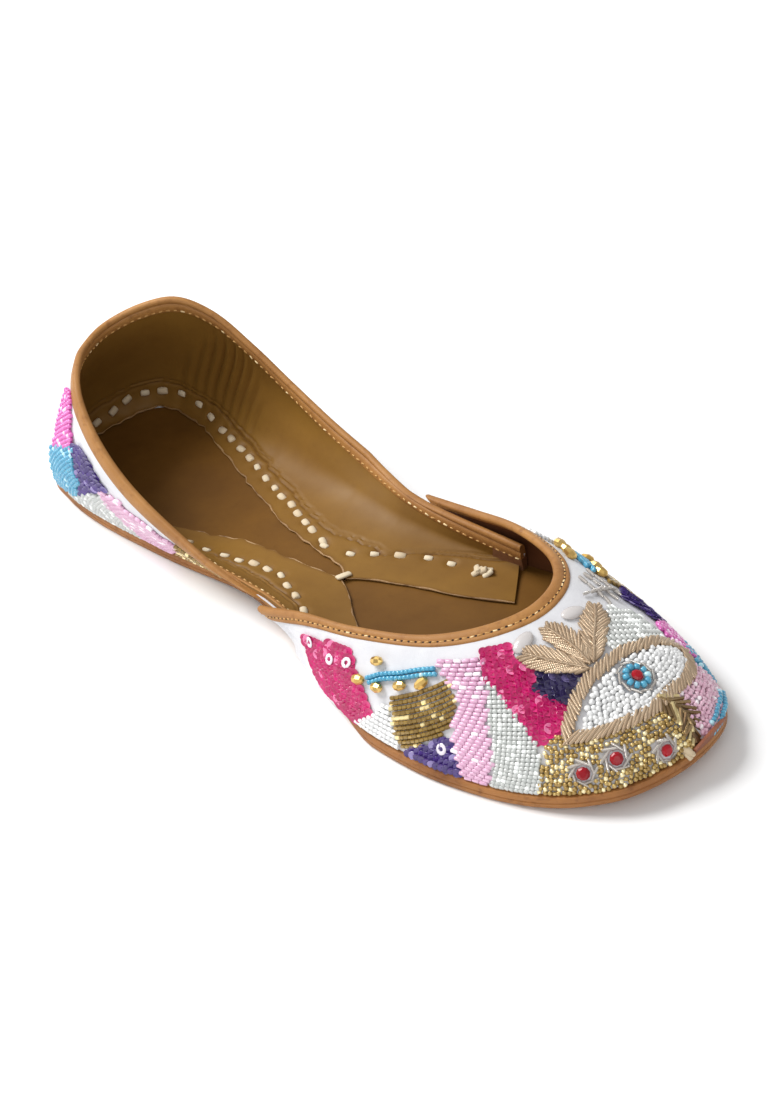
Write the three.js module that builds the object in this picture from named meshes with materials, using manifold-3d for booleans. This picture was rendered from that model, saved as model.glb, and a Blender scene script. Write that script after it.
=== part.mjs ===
// Mojari (jutti): a flat slip-on shoe of stiffened satin on a tan leather sole.
// Each piece is drawn alike on both sides, but for the outer side's top edge, which dips at the
// waist. Then the toe swings a little to the left, as on a right shoe.
// Units are millimetres. +X points to the toe, +Y to the wearer's left, +Z up.
// The shoe is drawn with the back of its heel seat at x = 0 and is centred at the end.
import * as THREE from 'three';
import { mergeVertices } from 'three/addons/utils/BufferGeometryUtils.js';
import Module from 'manifold-3d';

const wasm = await Module();
wasm.setup();

// ---------------------------------------------------------------- driving sizes
const LENGTH = 253;
const BALL_WIDTH = 88;
const HEEL_HEIGHT = 54.5;    // top of the collar over the floor, beside the heel
const INSTEP_HEIGHT = 32;    // front of the throat over the floor
const WALL = 1.8;            // satin, stiffening and leather lining together
const GAP = 0.3;             // between pieces that meet
const SOLE_THICK = 4;
const SOCK_THICK = 1.2;
const BINDING_WIDTH = 5;
const BINDING_PROUD = 0.35;
const EDGE_GAP = 0.6;        // between a wall's edge and its binding
const WING_END = 160;        // where the quarter's wings are cut off inside the vamp
const TIP_X = 121;           // rear tips of the vamp
const THROAT_X = 197.5;      // front of the throat on the centre line
const TOE_SWING = 2.5;       // how far the toe's end stands to the left
const SWING_FROM = 150;

// Sole outline: half width as a share of half the ball width, along the length.
const SOLE_OUTLINE = [
  { along: 0.0, half: 0.0 },
  { along: 0.03, half: 0.5 },
  { along: 0.08, half: 0.61 },
  { along: 0.15, half: 0.65 },
  { along: 0.25, half: 0.615 },
  { along: 0.4, half: 0.55 },
  { along: 0.5, half: 0.685 },
  { along: 0.6, half: 0.88 },
  { along: 0.71, half: 1.0 },
  { along: 0.79, half: 0.975 },
  { along: 0.85, half: 0.895 },
  { along: 0.905, half: 0.78 },
  { along: 0.955, half: 0.6 },
  { along: 0.985, half: 0.4 },
  { along: 1.0, half: 0.0 },
];

// Underside of the sole over the floor: heel seat, waist, flat tread, toe spring.
const SOLE_LIFT = [
  { along: 0.0, lift: 0.0 },
  { along: 0.26, lift: 0.0 },
  { along: 0.42, lift: 1.6 },
  { along: 0.58, lift: 0.0 },
  { along: 0.84, lift: 0.0 },
  { along: 0.93, lift: 1.4 },
  { along: 1.0, lift: 5.0 },
];

// How far the upper's foot stands in from the sole's edge.
const FEATHER_INSET = [
  { along: 0.0, inset: 0.8 },
  { along: 0.45, inset: 1.0 },
  { along: 0.62, inset: 1.3 },
  { along: 1.0, inset: 1.6 },
];

// Collar of the quarter, from the back of the heel to the end of a wing.
// The back leans a little to the left, and is higher there. On the outer side of the foot, the
// right, the edge stands higher by the last column, so it dips at the waist.
const COLLAR = [
  { x: 15, half: 0, height: 0.9 * HEEL_HEIGHT, lean: 1, outer: 0 },
  { x: 19.5, half: 11, height: 0.93 * HEEL_HEIGHT, lean: 1, outer: 0 },
  { x: 27, half: 19.5, height: 0.955 * HEEL_HEIGHT, lean: 1, outer: 0 },
  { x: 36, half: 26.5, height: 0.885 * HEEL_HEIGHT, lean: 0.4, outer: 0 },
  { x: 48, half: 30.8, height: 0.735 * HEEL_HEIGHT, lean: 0, outer: 0 },
  { x: 64, half: 32.6, height: 0.57 * HEEL_HEIGHT, lean: 0, outer: -1 },
  { x: 90, half: 31.8, height: 0.43 * HEEL_HEIGHT, lean: 0, outer: -4.5 },
  { x: 119, half: 31.4, height: 0.33 * HEEL_HEIGHT, lean: 0, outer: -6.5 },
  { x: WING_END, half: 36, height: 0.3 * HEEL_HEIGHT, lean: 0, outer: -5 },
];
const LEAN_RISE = 1.5;       // how much the left edge rises, and the right one drops, for 1 mm of lean

// Throat of the vamp, from the centre front to a rear tip.
const THROAT = [
  { x: THROAT_X, half: 0, height: INSTEP_HEIGHT, lean: 0, outer: 0 },
  { x: THROAT_X - 4, half: 13, height: 0.98 * INSTEP_HEIGHT, lean: 0, outer: 0 },
  { x: 182, half: 23.5, height: 0.9 * INSTEP_HEIGHT, lean: 0, outer: 0 },
  { x: 160, half: 30.8, height: 0.76 * INSTEP_HEIGHT, lean: 0, outer: 0.8 },
  { x: 140, half: 33, height: 0.6 * INSTEP_HEIGHT, lean: 0, outer: 1.8 },
  { x: TIP_X, half: 33.6, height: 0.48 * INSTEP_HEIGHT, lean: 0, outer: -2.5 },
];

// ---------------------------------------------------------------- tables as curves

/** Smooth cubic through the rows of a table, read at the value `at` of column `key`. */
function readTable(rows, key, column, at) {
  const last = rows.length - 1;
  const x = rows.map((row) => row[key]);
  const y = rows.map((row) => row[column]);
  const slope = (i) => (y[i + 1] - y[i]) / (x[i + 1] - x[i]);
  const tangent = (i) => {
    if (i === 0) return slope(0);
    if (i === last) return slope(last - 1);
    const before = slope(i - 1);
    const after = slope(i);
    const share = (x[i] - x[i - 1]) / (x[i + 1] - x[i - 1]);
    return before * after <= 0 ? 0 : before * (1 - share) + after * share;
  };
  const clamped = Math.min(Math.max(at, x[0]), x[last]);
  let i = 0;
  while (i < last - 1 && clamped > x[i + 1]) i += 1;
  const span = x[i + 1] - x[i];
  const t = (clamped - x[i]) / span;
  const rise = span * (t * (1 - t));
  return y[i] * (1 - t) ** 2 * (1 + 2 * t) + y[i + 1] * t ** 2 * (3 - 2 * t)
    + rise * ((1 - t) * tangent(i) - t * tangent(i + 1));
}

const squared = SOLE_OUTLINE.map(({ along, half }) => ({ along, half: half ** 2 }));

/** Half width of the sole at x; the square root keeps both ends round. */
function soleHalf(x) {
  return (BALL_WIDTH / 2) * Math.sqrt(Math.max(readTable(squared, 'along', 'half', x / LENGTH), 0));
}

/** Height of the sole's underside at x. */
function soleLift(x) {
  return readTable(SOLE_LIFT, 'along', 'lift', x / LENGTH);
}

/** Smooth curve through a half table and its mirror image, from right (-Y) to left (+Y). */
function mirroredCurve([centre, ...rows]) {
  const middle = new THREE.Vector3(centre.x, centre.lean, centre.height);
  const side = (sign) => rows.map(({ x, half, height, lean, outer }) => {
    const edge = height + sign * LEAN_RISE * lean + (sign < 0 ? outer : 0);
    return new THREE.Vector3(x, lean + sign * half, edge);
  });
  const points = [...side(-1).reverse(), middle, ...side(1)];
  const curve = new THREE.CatmullRomCurve3(points, false, 'centripetal');
  curve.arcLengthDivisions = 400;
  return curve;
}

/** Sole edge drawn in by the feather inset, as a closed curve from the back of the heel. */
function featherCurve() {
  const steps = 60;
  const side = (sign) => Array.from({ length: steps + 1 }, (_, i) => {
    const x = (LENGTH / 2) * (1 - Math.cos((Math.PI * i) / steps));
    return new THREE.Vector3(x, sign * soleHalf(x), 0);
  });
  const outline = new THREE.CatmullRomCurve3([...side(-1), ...side(1).reverse().slice(1, -1)], true);
  const count = 160;
  const points = Array.from({ length: count }, (_, i) => {
    const at = outline.getPointAt(i / count);
    const ahead = outline.getTangentAt(i / count);
    const inset = readTable(FEATHER_INSET, 'along', 'inset', at.x / LENGTH);
    const x = at.x - ahead.y * inset;
    const y = at.y + ahead.x * inset;
    return new THREE.Vector3(x, y, soleLift(x) + SOLE_THICK + GAP);
  });
  const curve = new THREE.CatmullRomCurve3(points, true);
  curve.arcLengthDivisions = 600;
  return curve;
}

const feather = featherCurve();
const collar = mirroredCurve(COLLAR);
const throat = mirroredCurve(THROAT);

/** Share of the feather line, from the heel along the right side, where it passes x. */
function featherShareAt(x) {
  let low = 0;
  let high = 0.5;
  for (let i = 0; i < 40; i += 1) {
    const middle = (low + high) / 2;
    if (feather.getPointAt(middle).x < x) low = middle;
    else high = middle;
  }
  return (low + high) / 2;
}

// ---------------------------------------------------------------- the two walls of the upper

const UP = new THREE.Vector3(0, 0, 1);
const VAMP_FOOT_X = 133;     // where the vamp's rear edge reaches the sole
const WING_FOOT_X = 157;     // foot of the wing's cut end
const LEVEL_FOOT = 0.25;     // share of a wall, from its foot, that turns from level to normal

// Outward swell of the quarter between foot and collar, along the length.
const SWELL = [
  { x: 0, swell: 5.5 },
  { x: 40, swell: 4.2 },
  { x: 80, swell: 1.6 },
  { x: 120, swell: 0.6 },
  { x: WING_END, swell: 0.4 },
];

// How deep the quarter lies under the line of the vamp's outside.
const TUCK = [
  { x: 98, tuck: 0 },
  { x: 117, tuck: WALL + GAP },
];

const vampStart = featherShareAt(VAMP_FOOT_X);
const wingStart = featherShareAt(WING_FOOT_X);

/** Foot point on the feather line and the level direction that points away from the shoe. */
function footAt(share) {
  const wrapped = ((share % 1) + 1) % 1;
  const ahead = feather.getTangentAt(wrapped);
  const outward = new THREE.Vector3(ahead.y, -ahead.x, 0).normalize();
  return { foot: feather.getPointAt(wrapped), outward };
}

/** Point at v on the cubic through four control points. */
function cubic(a, b, c, d, v) {
  const w = 1 - v;
  return a.clone().multiplyScalar(w ** 3)
    .addScaledVector(b, 3 * w * w * v)
    .addScaledVector(c, 3 * w * v * v)
    .addScaledVector(d, v ** 3);
}

/** Outside of the vamp: u runs right rear, toe, left rear; v runs from foot to throat. */
function vampFace(u, v) {
  const { foot } = footAt(vampStart + (1 - 2 * vampStart) * u);
  const edge = throat.getPointAt(u);
  const rise = edge.z - foot.z;
  const level = edge.clone().sub(foot).setZ(0);
  const steep = foot.clone().addScaledVector(UP, 0.46 * rise).addScaledVector(level, 0.14);
  const crown = edge.clone().addScaledVector(level, -0.42).addScaledVector(UP, -0.2 * rise);
  return cubic(foot, steep, crown, edge, v);
}

/** Outside of the quarter: u runs left wing, heel, right wing; v runs from foot to collar. */
function quarterFace(u, v) {
  const { foot, outward } = footAt(wingStart * (2 * u - 1));
  const edge = collar.getPointAt(1 - u);
  const rise = edge.z - foot.z;
  const swell = readTable(SWELL, 'x', 'swell', (foot.x + edge.x) / 2);
  const low = foot.clone().addScaledVector(UP, 0.36 * rise).addScaledVector(outward, swell);
  const high = edge.clone().addScaledVector(UP, -0.34 * rise).addScaledVector(outward, swell);
  return cubic(foot, low, high, edge, v);
}

/** Point at a depth under a face, along its normal, or level where the wall stands on the sole. */
function under(face, u, v, depth) {
  const step = 0.002;
  const [u0, u1] = [Math.max(u - step, 0), Math.min(u + step, 1)];
  const [v0, v1] = [Math.max(v - step, 0), Math.min(v + step, 1)];
  const along = face(u1, v).sub(face(u0, v));
  const upward = face(u, v1).sub(face(u, v0));
  const outward = along.cross(upward).normalize();
  outward.setZ(outward.z * Math.min(v / LEVEL_FOOT, 1)).normalize();
  return face(u, v).addScaledVector(outward, -depth);
}

/** Depth of the quarter's outside, which slips inside the vamp at the waist. */
function tuckAt(u, v) {
  return readTable(TUCK, 'x', 'tuck', quarterFace(u, v).x);
}

/** v at a distance below the top edge of a face. */
function belowEdge(face, u, distance) {
  const steps = 24;
  let length = 0;
  let last = face(u, 1);
  for (let i = steps - 1; i >= 0; i -= 1) {
    const next = face(u, i / steps);
    const piece = last.distanceTo(next);
    if (length + piece >= distance) return (i + 1 - (distance - length) / piece) / steps;
    length += piece;
    last = next;
  }
  return 0;
}

// ---------------------------------------------------------------- closed meshes

/** Point moved to the left by the swing of the toe. */
function swung(point) {
  const share = Math.max((point.x - SWING_FROM) / (LENGTH - SWING_FROM), 0);
  return point.setY(point.y + TOE_SWING * share ** 2);
}

/** Closed mesh between two grids of points, with its four rims. */
function between(outer, inner, columns, rows) {
  const corners = [];
  const quad = (a, b, c, d) => corners.push(a, b, c, a, c, d);
  const grid = (point) => Array.from({ length: columns + 1 }, (_, i) =>
    Array.from({ length: rows + 1 }, (__, j) => swung(point(i / columns, j / rows))));
  const front = grid(outer);
  const back = grid(inner);
  for (let i = 0; i < columns; i += 1) {
    for (let j = 0; j < rows; j += 1) {
      quad(front[i][j], front[i + 1][j], front[i + 1][j + 1], front[i][j + 1]);
      quad(back[i + 1][j], back[i][j], back[i][j + 1], back[i + 1][j + 1]);
    }
    quad(front[i + 1][0], front[i][0], back[i][0], back[i + 1][0]);
    quad(front[i][rows], front[i + 1][rows], back[i + 1][rows], back[i][rows]);
  }
  for (let j = 0; j < rows; j += 1) {
    quad(front[0][j], front[0][j + 1], back[0][j + 1], back[0][j]);
    quad(front[columns][j + 1], front[columns][j], back[columns][j], back[columns][j + 1]);
  }
  return welded(corners);
}

/** Indexed geometry from triangle corners, without the flat triangles at poles. */
function welded(corners) {
  const loose = new THREE.BufferGeometry().setFromPoints(corners);
  const merged = mergeVertices(loose, 1e-4);
  const index = [];
  const old = merged.index.array;
  for (let i = 0; i < old.length; i += 3) {
    const [a, b, c] = old.slice(i, i + 3);
    if (a !== b && b !== c && c !== a) index.push(a, b, c);
  }
  merged.setIndex(index);
  return merged;
}

/** Solid of manifold-3d from a closed geometry. */
function solid(geometry) {
  return new wasm.Manifold(new wasm.Mesh({
    numProp: 3,
    vertProperties: Float32Array.from(geometry.attributes.position.array),
    triVerts: Uint32Array.from(geometry.index.array),
  }));
}

/** Geometry from a solid of manifold-3d. */
function geometryOf(body) {
  const mesh = body.getMesh();
  const geometry = new THREE.BufferGeometry();
  geometry.setAttribute('position', new THREE.BufferAttribute(mesh.vertProperties, mesh.numProp));
  geometry.setIndex(new THREE.BufferAttribute(mesh.triVerts, 1));
  return geometry;
}

/** Slab that follows the lift of the sole, between two stations along the length. */
function slab({ from, to, half, base, thick, stations, across }) {
  const point = (top) => (u, v) => {
    const x = from + ((to - from) * (1 - Math.cos(Math.PI * u))) / 2;
    const z = soleLift(x) + base + (top ? thick : 0);
    return new THREE.Vector3(x, half(x) * (2 * v - 1), z);
  };
  return between(point(true), point(false), stations, across);
}

// ---------------------------------------------------------------- pieces

const satin = new THREE.MeshStandardMaterial({ color: 0xe9e4e1, roughness: 0.6, metalness: 0 });
const tan = new THREE.MeshStandardMaterial({ color: 0xb07337, roughness: 0.55, metalness: 0 });
const soleTan = new THREE.MeshStandardMaterial({ color: 0xa86a36, roughness: 0.7, metalness: 0 });
const sockTan = new THREE.MeshStandardMaterial({ color: 0x7c5222, roughness: 0.5, metalness: 0 });

const SEAM_X = 119;          // where heel sock and forepart sock meet at the waist
const SOCK_Z = SOLE_THICK + GAP;

// Half width of the two socks, which narrow to a point at the waist seam.
const HEEL_SOCK = [
  { x: 40, half: 30 },
  { x: 74, half: 20 },
  { x: 100, half: 10 },
  { x: SEAM_X, half: 1.2 },
];
const FOREPART_SOCK = [
  { x: SEAM_X, half: 1.2 },
  { x: 132, half: 13 },
  { x: 146, half: 24 },
  { x: 160, half: 34 },
  { x: 180, half: 50 },
];

function outsole() {
  return slab({ from: 0, to: LENGTH, half: soleHalf, base: 0, thick: SOLE_THICK, stations: 64, across: 8 });
}

/** Outline at a depth inside the feather line: its ends and its half width at x. */
function insideFoot(depth) {
  const steps = 300;
  const rows = Array.from({ length: steps + 1 }, (_, i) => {
    const { foot, outward } = footAt((0.5 * i) / steps);
    const at = foot.addScaledVector(outward, -depth);
    return { x: at.x, half: Math.max(-at.y, 0) };
  });
  const half = (x) => {
    const next = Math.max(rows.findIndex((row) => row.x >= x), 1);
    const [a, b] = [rows[next - 1], rows[next]];
    return a.half + ((b.half - a.half) * (x - a.x)) / (b.x - a.x);
  };
  return { from: rows[0].x, to: rows[steps].x, half };
}

function heelSock() {
  const inside = insideFoot(WALL + GAP);
  const half = (x) => Math.min(inside.half(x), readTable(HEEL_SOCK, 'x', 'half', x));
  const ends = { from: inside.from, to: SEAM_X };
  return slab({ ...ends, half, base: SOCK_Z, thick: SOCK_THICK, stations: 36, across: 6 });
}

function forepartSock() {
  const inside = insideFoot(2 * (WALL + GAP));
  const half = (x) => Math.min(inside.half(x), readTable(FOREPART_SOCK, 'x', 'half', x));
  const ends = { from: SEAM_X + GAP, to: inside.to };
  return slab({ ...ends, half, base: SOCK_Z, thick: SOCK_THICK, stations: 36, across: 6 });
}

function vampWall() {
  const top = (u) => belowEdge(vampFace, u, BINDING_WIDTH);
  const point = (depth) => (u, v) => under(vampFace, u, v * top(u), depth);
  return between(point(0), point(WALL), 72, 9);
}

function vampBinding() {
  const from = (u) => belowEdge(vampFace, u, BINDING_WIDTH - EDGE_GAP);
  const point = (depth) => (u, v) => under(vampFace, u, from(u) + (1 - from(u)) * v, depth);
  return between(point(-BINDING_PROUD), point(WALL), 72, 1);
}

/** The room that the vamp takes, with its gap, from its lining outwards. */
function vampRoom() {
  const margin = 8;
  const point = (depth) => (u, v) => {
    const at = under(vampFace, u, v, depth);
    if (v === 0) at.z -= 1;
    if (u === 0 || u === 1) at.x -= GAP;
    return at;
  };
  return between(point(-margin), point(WALL + GAP), 72, 9);
}

/** Part of the quarter's wall between two lines along it, kept clear of the vamp. */
function quarterPart(lower, upper, proud, rows) {
  const point = (depth) => (u, v) => {
    const at = lower(u) + (upper(u) - lower(u)) * v;
    return under(quarterFace, u, at, tuckAt(u, at) + depth);
  };
  const whole = between(point(-proud), point(WALL), 84, rows);
  return geometryOf(solid(whole).subtract(solid(vampRoom())));
}

function quarterWall() {
  return quarterPart(() => 0, (u) => belowEdge(quarterFace, u, BINDING_WIDTH), 0, 7);
}

function quarterBinding() {
  return quarterPart((u) => belowEdge(quarterFace, u, BINDING_WIDTH - EDGE_GAP), () => 1, BINDING_PROUD, 1);
}

// ---------------------------------------------------------------- the shoe

const shoe = new THREE.Group();
const pieces = [
  ['outsole', outsole(), soleTan],
  ['insole_heel', heelSock(), sockTan],
  ['insole_forepart', forepartSock(), sockTan],
  ['vamp', vampWall(), satin],
  ['vamp_binding', vampBinding(), tan],
  ['quarter', quarterWall(), satin],
  ['quarter_binding', quarterBinding(), tan],
];
for (const [name, geometry, material] of pieces) {
  const mesh = new THREE.Mesh(geometry, material);
  mesh.name = name;
  shoe.add(mesh);
}

// Origin under the middle of the shoe, on the floor.
const box = new THREE.Box3().setFromObject(shoe);
shoe.position.set(-(box.min.x + box.max.x) / 2, -(box.min.y + box.max.y) / 2, -box.min.z);

export default shoe;
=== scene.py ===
# %% [markdown]
# # A beaded mojari
# A mojari, or jutti, is a flat slip-on shoe. A white satin vamp and quarter are lined with tan
# leather, bound with a leather strip, and sewn with cotton through a thin leather sole. Then the
# satin is covered with beads, sequins and coiled wire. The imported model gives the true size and
# place of the main pieces, and this lesson builds their visible surfaces and the embroidery.

from math import cos, pi, radians, sin

import bpy
import numpy as np
from mathutils import Matrix, Vector


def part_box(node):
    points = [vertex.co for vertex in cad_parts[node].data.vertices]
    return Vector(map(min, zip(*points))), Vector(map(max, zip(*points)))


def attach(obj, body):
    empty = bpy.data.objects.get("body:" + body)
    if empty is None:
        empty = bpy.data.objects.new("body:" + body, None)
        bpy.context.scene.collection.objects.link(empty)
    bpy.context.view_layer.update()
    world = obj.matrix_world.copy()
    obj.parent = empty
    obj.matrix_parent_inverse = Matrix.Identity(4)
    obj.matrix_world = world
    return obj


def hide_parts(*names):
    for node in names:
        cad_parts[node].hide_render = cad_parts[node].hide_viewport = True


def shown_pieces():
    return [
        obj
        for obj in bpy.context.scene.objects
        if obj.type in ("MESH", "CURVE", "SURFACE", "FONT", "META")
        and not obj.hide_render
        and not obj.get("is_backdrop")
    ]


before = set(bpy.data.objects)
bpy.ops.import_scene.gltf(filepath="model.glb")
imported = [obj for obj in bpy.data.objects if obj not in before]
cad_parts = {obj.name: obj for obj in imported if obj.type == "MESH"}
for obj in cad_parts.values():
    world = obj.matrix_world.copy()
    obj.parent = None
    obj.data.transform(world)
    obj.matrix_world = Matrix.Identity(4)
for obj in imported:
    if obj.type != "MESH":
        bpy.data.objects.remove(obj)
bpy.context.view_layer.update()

# %% [markdown]
# ## The shoe's own sizes
# A last maker measures from the back of the heel, so the tables here do too: x runs to the toe,
# y to the wearer's left and z up, in millimetres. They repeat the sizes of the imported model,
# because a surface that is drawn from the same rows fits it closely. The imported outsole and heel
# sock say where that heel lies in the frame.

# %% Sizes of the last
LENGTH = 253.0
BALL_WIDTH = 88.0
HEEL_HEIGHT = 54.5
INSTEP_HEIGHT = 32.0
WALL = 1.8
GAP = 0.3
SOLE_THICK = 4.0
TOE_SWING = 2.5
SWING_FROM = 150.0
LEAN_RISE = 1.5
VAMP_FOOT_X = 133.0
WING_FOOT_X = 157.0

# share of the length, half width as a share of half the ball width
SOLE_OUTLINE = [(0, 0), (0.03, 0.5), (0.08, 0.61), (0.15, 0.65), (0.25, 0.615), (0.4, 0.55), (0.5, 0.685),
                (0.6, 0.88), (0.71, 1.0), (0.79, 0.975), (0.85, 0.895), (0.905, 0.78), (0.955, 0.6),
                (0.985, 0.4), (1, 0)]
# share of the length, height of the underside
SOLE_LIFT = [(0, 0), (0.26, 0), (0.42, 1.6), (0.58, 0), (0.84, 0), (0.93, 1.4), (1, 5)]
# share of the length, how far the upper's foot stands in
FEATHER_INSET = [(0, 0.8), (0.45, 1.0), (0.62, 1.3), (1, 1.6)]
# x, half width, height, lean to the left, how much higher the edge stands on the outer side
COLLAR = [(15, 0, 0.9, 1, 0), (19.5, 11, 0.93, 1, 0), (27, 19.5, 0.955, 1, 0), (36, 26.5, 0.885, 0.4, 0),
          (48, 30.8, 0.735, 0, 0), (64, 32.6, 0.57, 0, -1), (90, 31.8, 0.43, 0, -4.5),
          (119, 31.4, 0.33, 0, -6.5), (160, 36, 0.3, 0, -5)]
THROAT = [(197.5, 0, 1.0, 0, 0), (193.5, 13, 0.98, 0, 0), (182, 23.5, 0.9, 0, 0), (160, 30.8, 0.76, 0, 0.8),
          (140, 33, 0.6, 0, 1.8), (121, 33.6, 0.48, 0, -2.5)]
# x, outward swell of the quarter
SWELL = [(0, 5.5), (40, 4.2), (80, 1.6), (120, 0.6), (160, 0.4)]
# x, depth of the quarter under the line of the vamp
TUCK = [(98, 0), (117, WALL + GAP)]

sole_low, sole_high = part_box("outsole")
sock_low, sock_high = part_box("insole_heel")
HEEL_PLACE = np.array([sole_low.x * 1000, (sock_low.y + sock_high.y) * 500, 0])
print("the heel seat starts at", HEEL_PLACE.round(2), "mm")


# %% Tables and paths
def read_table(rows, at):
    """Smooth cubic through rows of (place, value), read at one place or at many."""
    place, value = np.array(rows, float).T
    at = np.clip(at, place[0], place[-1])
    slope = np.diff(value) / np.diff(place)
    share = np.diff(place)[:-1] / (place[2:] - place[:-2])
    inner = slope[:-1] * (1 - share) + slope[1:] * share
    inner = np.where(slope[:-1] * slope[1:] <= 0, 0, inner)
    tangent = np.concatenate([slope[:1], inner, slope[-1:]])
    i = np.clip(np.searchsorted(place, at) - 1, 0, len(slope) - 1)
    span = place[i + 1] - place[i]
    t = (at - place[i]) / span
    ends = value[i] * (1 - t) ** 2 * (1 + 2 * t) + value[i + 1] * t ** 2 * (3 - 2 * t)
    return ends + span * t * (1 - t) * ((1 - t) * tangent[i] - t * tangent[i + 1])


class Path:
    """A line of many points that is read by its share of the whole length."""

    def __init__(self, points, closed=False):
        points = np.asarray(points, float)
        self.points = np.vstack([points, points[:1]]) if closed else points
        steps = np.linalg.norm(np.diff(self.points, axis=0), axis=1)
        self.length = steps.sum()
        self.share = np.concatenate([[0], np.cumsum(steps)]) / self.length
        self.closed = closed

    def at(self, share):
        share = np.mod(share, 1.0) if self.closed else np.asarray(share, float)
        return np.stack([np.interp(share, self.share, column) for column in self.points.T], axis=-1)


def through(points, steps=40):
    """Smooth curve through points, as a dense path."""
    p = np.asarray(points, float)
    p = np.vstack([2 * p[0] - p[1], p, 2 * p[-1] - p[-2]])
    t = np.linspace(0, 1, steps, endpoint=False)[:, None]
    dense = []
    for a, b, c, d in zip(p, p[1:], p[2:], p[3:]):
        ab, bc, cd = (np.sqrt(np.linalg.norm(q - r)) for q, r in ((b, a), (c, b), (d, c)))
        leave = ((b - a) / ab - (c - a) / (ab + bc) + (c - b) / bc) * bc
        arrive = ((c - b) / bc - (d - b) / (bc + cd) + (d - c) / cd) * bc
        ends = b * (1 + 2 * t) * (1 - t) ** 2 + c * t * t * (3 - 2 * t)
        dense.append(ends + leave * t * (1 - t) ** 2 + arrive * t * t * (t - 1))
    return Path(np.vstack([*dense, p[-2:-1]]))


def sole_half(x):
    squared = [(along, half * half) for along, half in SOLE_OUTLINE]
    return BALL_WIDTH / 2 * np.sqrt(np.maximum(read_table(squared, x / LENGTH), 0))


def sole_lift(x):
    return read_table(SOLE_LIFT, x / LENGTH)


def mirrored(rows, height):
    """Curve through a half table and its mirror image, from right to left."""
    (x, _, top, lean, _), *rest = rows

    def side(sign):
        rise = sign * LEAN_RISE
        return [(x, lean + sign * half, share * height + rise * lean + (outer if sign < 0 else 0))
                for x, half, share, lean, outer in rest]

    return through(side(-1)[::-1] + [(x, lean, top * height)] + side(1))


def outline_path(inset, count=400):
    """Closed outline of the sole, drawn in by an inset that may change along the length."""
    x = LENGTH / 2 * (1 - np.cos(np.linspace(0, pi, count)))
    right = np.stack([x, -sole_half(x), 0 * x], axis=1)
    whole = Path(np.vstack([right, (right * [1, -1, 1])[-2:0:-1]]), closed=True)
    share = np.arange(count) / count
    at = whole.at(share)
    ahead = whole.at(share + 0.002) - whole.at(share - 0.002)
    ahead /= np.linalg.norm(ahead, axis=1)[:, None]
    depth = inset(at[:, 0])
    at[:, 0] -= ahead[:, 1] * depth
    at[:, 1] += ahead[:, 0] * depth
    return Path(at, closed=True)


def feather_path():
    flat = outline_path(lambda x: read_table(FEATHER_INSET, x / LENGTH)).points[:-1]
    flat[:, 2] = sole_lift(flat[:, 0]) + SOLE_THICK + GAP
    return Path(flat, closed=True)


feather = feather_path()
collar = mirrored(COLLAR, HEEL_HEIGHT)
throat = mirrored(THROAT, INSTEP_HEIGHT)
print(f"feather line {feather.length:.0f} mm, collar {collar.length:.0f} mm, throat {throat.length:.0f} mm")


# %% [markdown]
# ## The two walls of the upper
# The vamp rises from the feather line to the throat and the quarter from the feather line to the
# collar. Each is one function of two shares: u runs round the shoe and v runs up the wall. Beads,
# stitches and edges are then placed by their (u, v), so they can't leave the surface.

# %% Walls
RIGHT_SIDE = feather.share < 0.5
UP = np.array([0, 0, 1.0])


def feather_share_at(x):
    return np.interp(x, feather.points[RIGHT_SIDE, 0], feather.share[RIGHT_SIDE])


VAMP_START = feather_share_at(VAMP_FOOT_X)
WING_START = feather_share_at(WING_FOOT_X)


def cubic(a, b, c, d, v):
    w = 1 - v
    return a * w ** 3 + 3 * b * w * w * v + 3 * c * w * v * v + d * v ** 3


def vamp_face(u, v):
    """Outside of the vamp: u runs right rear, toe, left rear; v runs from foot to throat."""
    u, v = np.broadcast_arrays(np.asarray(u, float), np.asarray(v, float))
    foot = feather.at(VAMP_START + (1 - 2 * VAMP_START) * u)
    edge = throat.at(u)
    rise = (edge - foot)[..., 2:] * UP
    level = (edge - foot) * [1, 1, 0]
    low = foot + 0.46 * rise + 0.14 * level
    high = edge - 0.42 * level - 0.2 * rise
    return cubic(foot, low, high, edge, v[..., None])


def quarter_face(u, v):
    """Outside of the quarter: u runs left wing, heel, right wing; v runs from foot to collar."""
    u, v = np.broadcast_arrays(np.asarray(u, float), np.asarray(v, float))
    share = WING_START * (2 * u - 1)
    foot = feather.at(share)
    ahead = feather.at(share + 0.001) - feather.at(share - 0.001)
    outward = np.stack([ahead[..., 1], -ahead[..., 0], 0 * ahead[..., 0]], axis=-1)
    outward /= np.linalg.norm(outward, axis=-1, keepdims=True)
    edge = collar.at(1 - u)
    rise = (edge - foot)[..., 2:] * UP
    swell = read_table(SWELL, (foot[..., 0] + edge[..., 0]) / 2)[..., None] * outward
    return cubic(foot, foot + 0.36 * rise + swell, edge - 0.34 * rise + swell, edge, v[..., None])


def normal_of(face, u, v, level_foot=0.25):
    """Outward normal, turned level at the foot so that the wall stands on the sole."""
    step = 0.002
    along = face(np.minimum(u + step, 1), v) - face(np.maximum(u - step, 0), v)
    upward = face(u, np.minimum(v + step, 1)) - face(u, np.maximum(v - step, 0))
    normal = np.cross(along, upward)
    normal /= np.linalg.norm(normal, axis=-1, keepdims=True)
    normal[..., 2] *= np.minimum(np.asarray(v, float) / level_foot, 1)
    return normal / np.linalg.norm(normal, axis=-1, keepdims=True)


def under(face, u, v, depth):
    """Point at a depth under a face."""
    u, v, depth = np.broadcast_arrays(*(np.asarray(value, float) for value in (u, v, depth)))
    return face(u, v) - depth[..., None] * normal_of(face, u, v)


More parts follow.
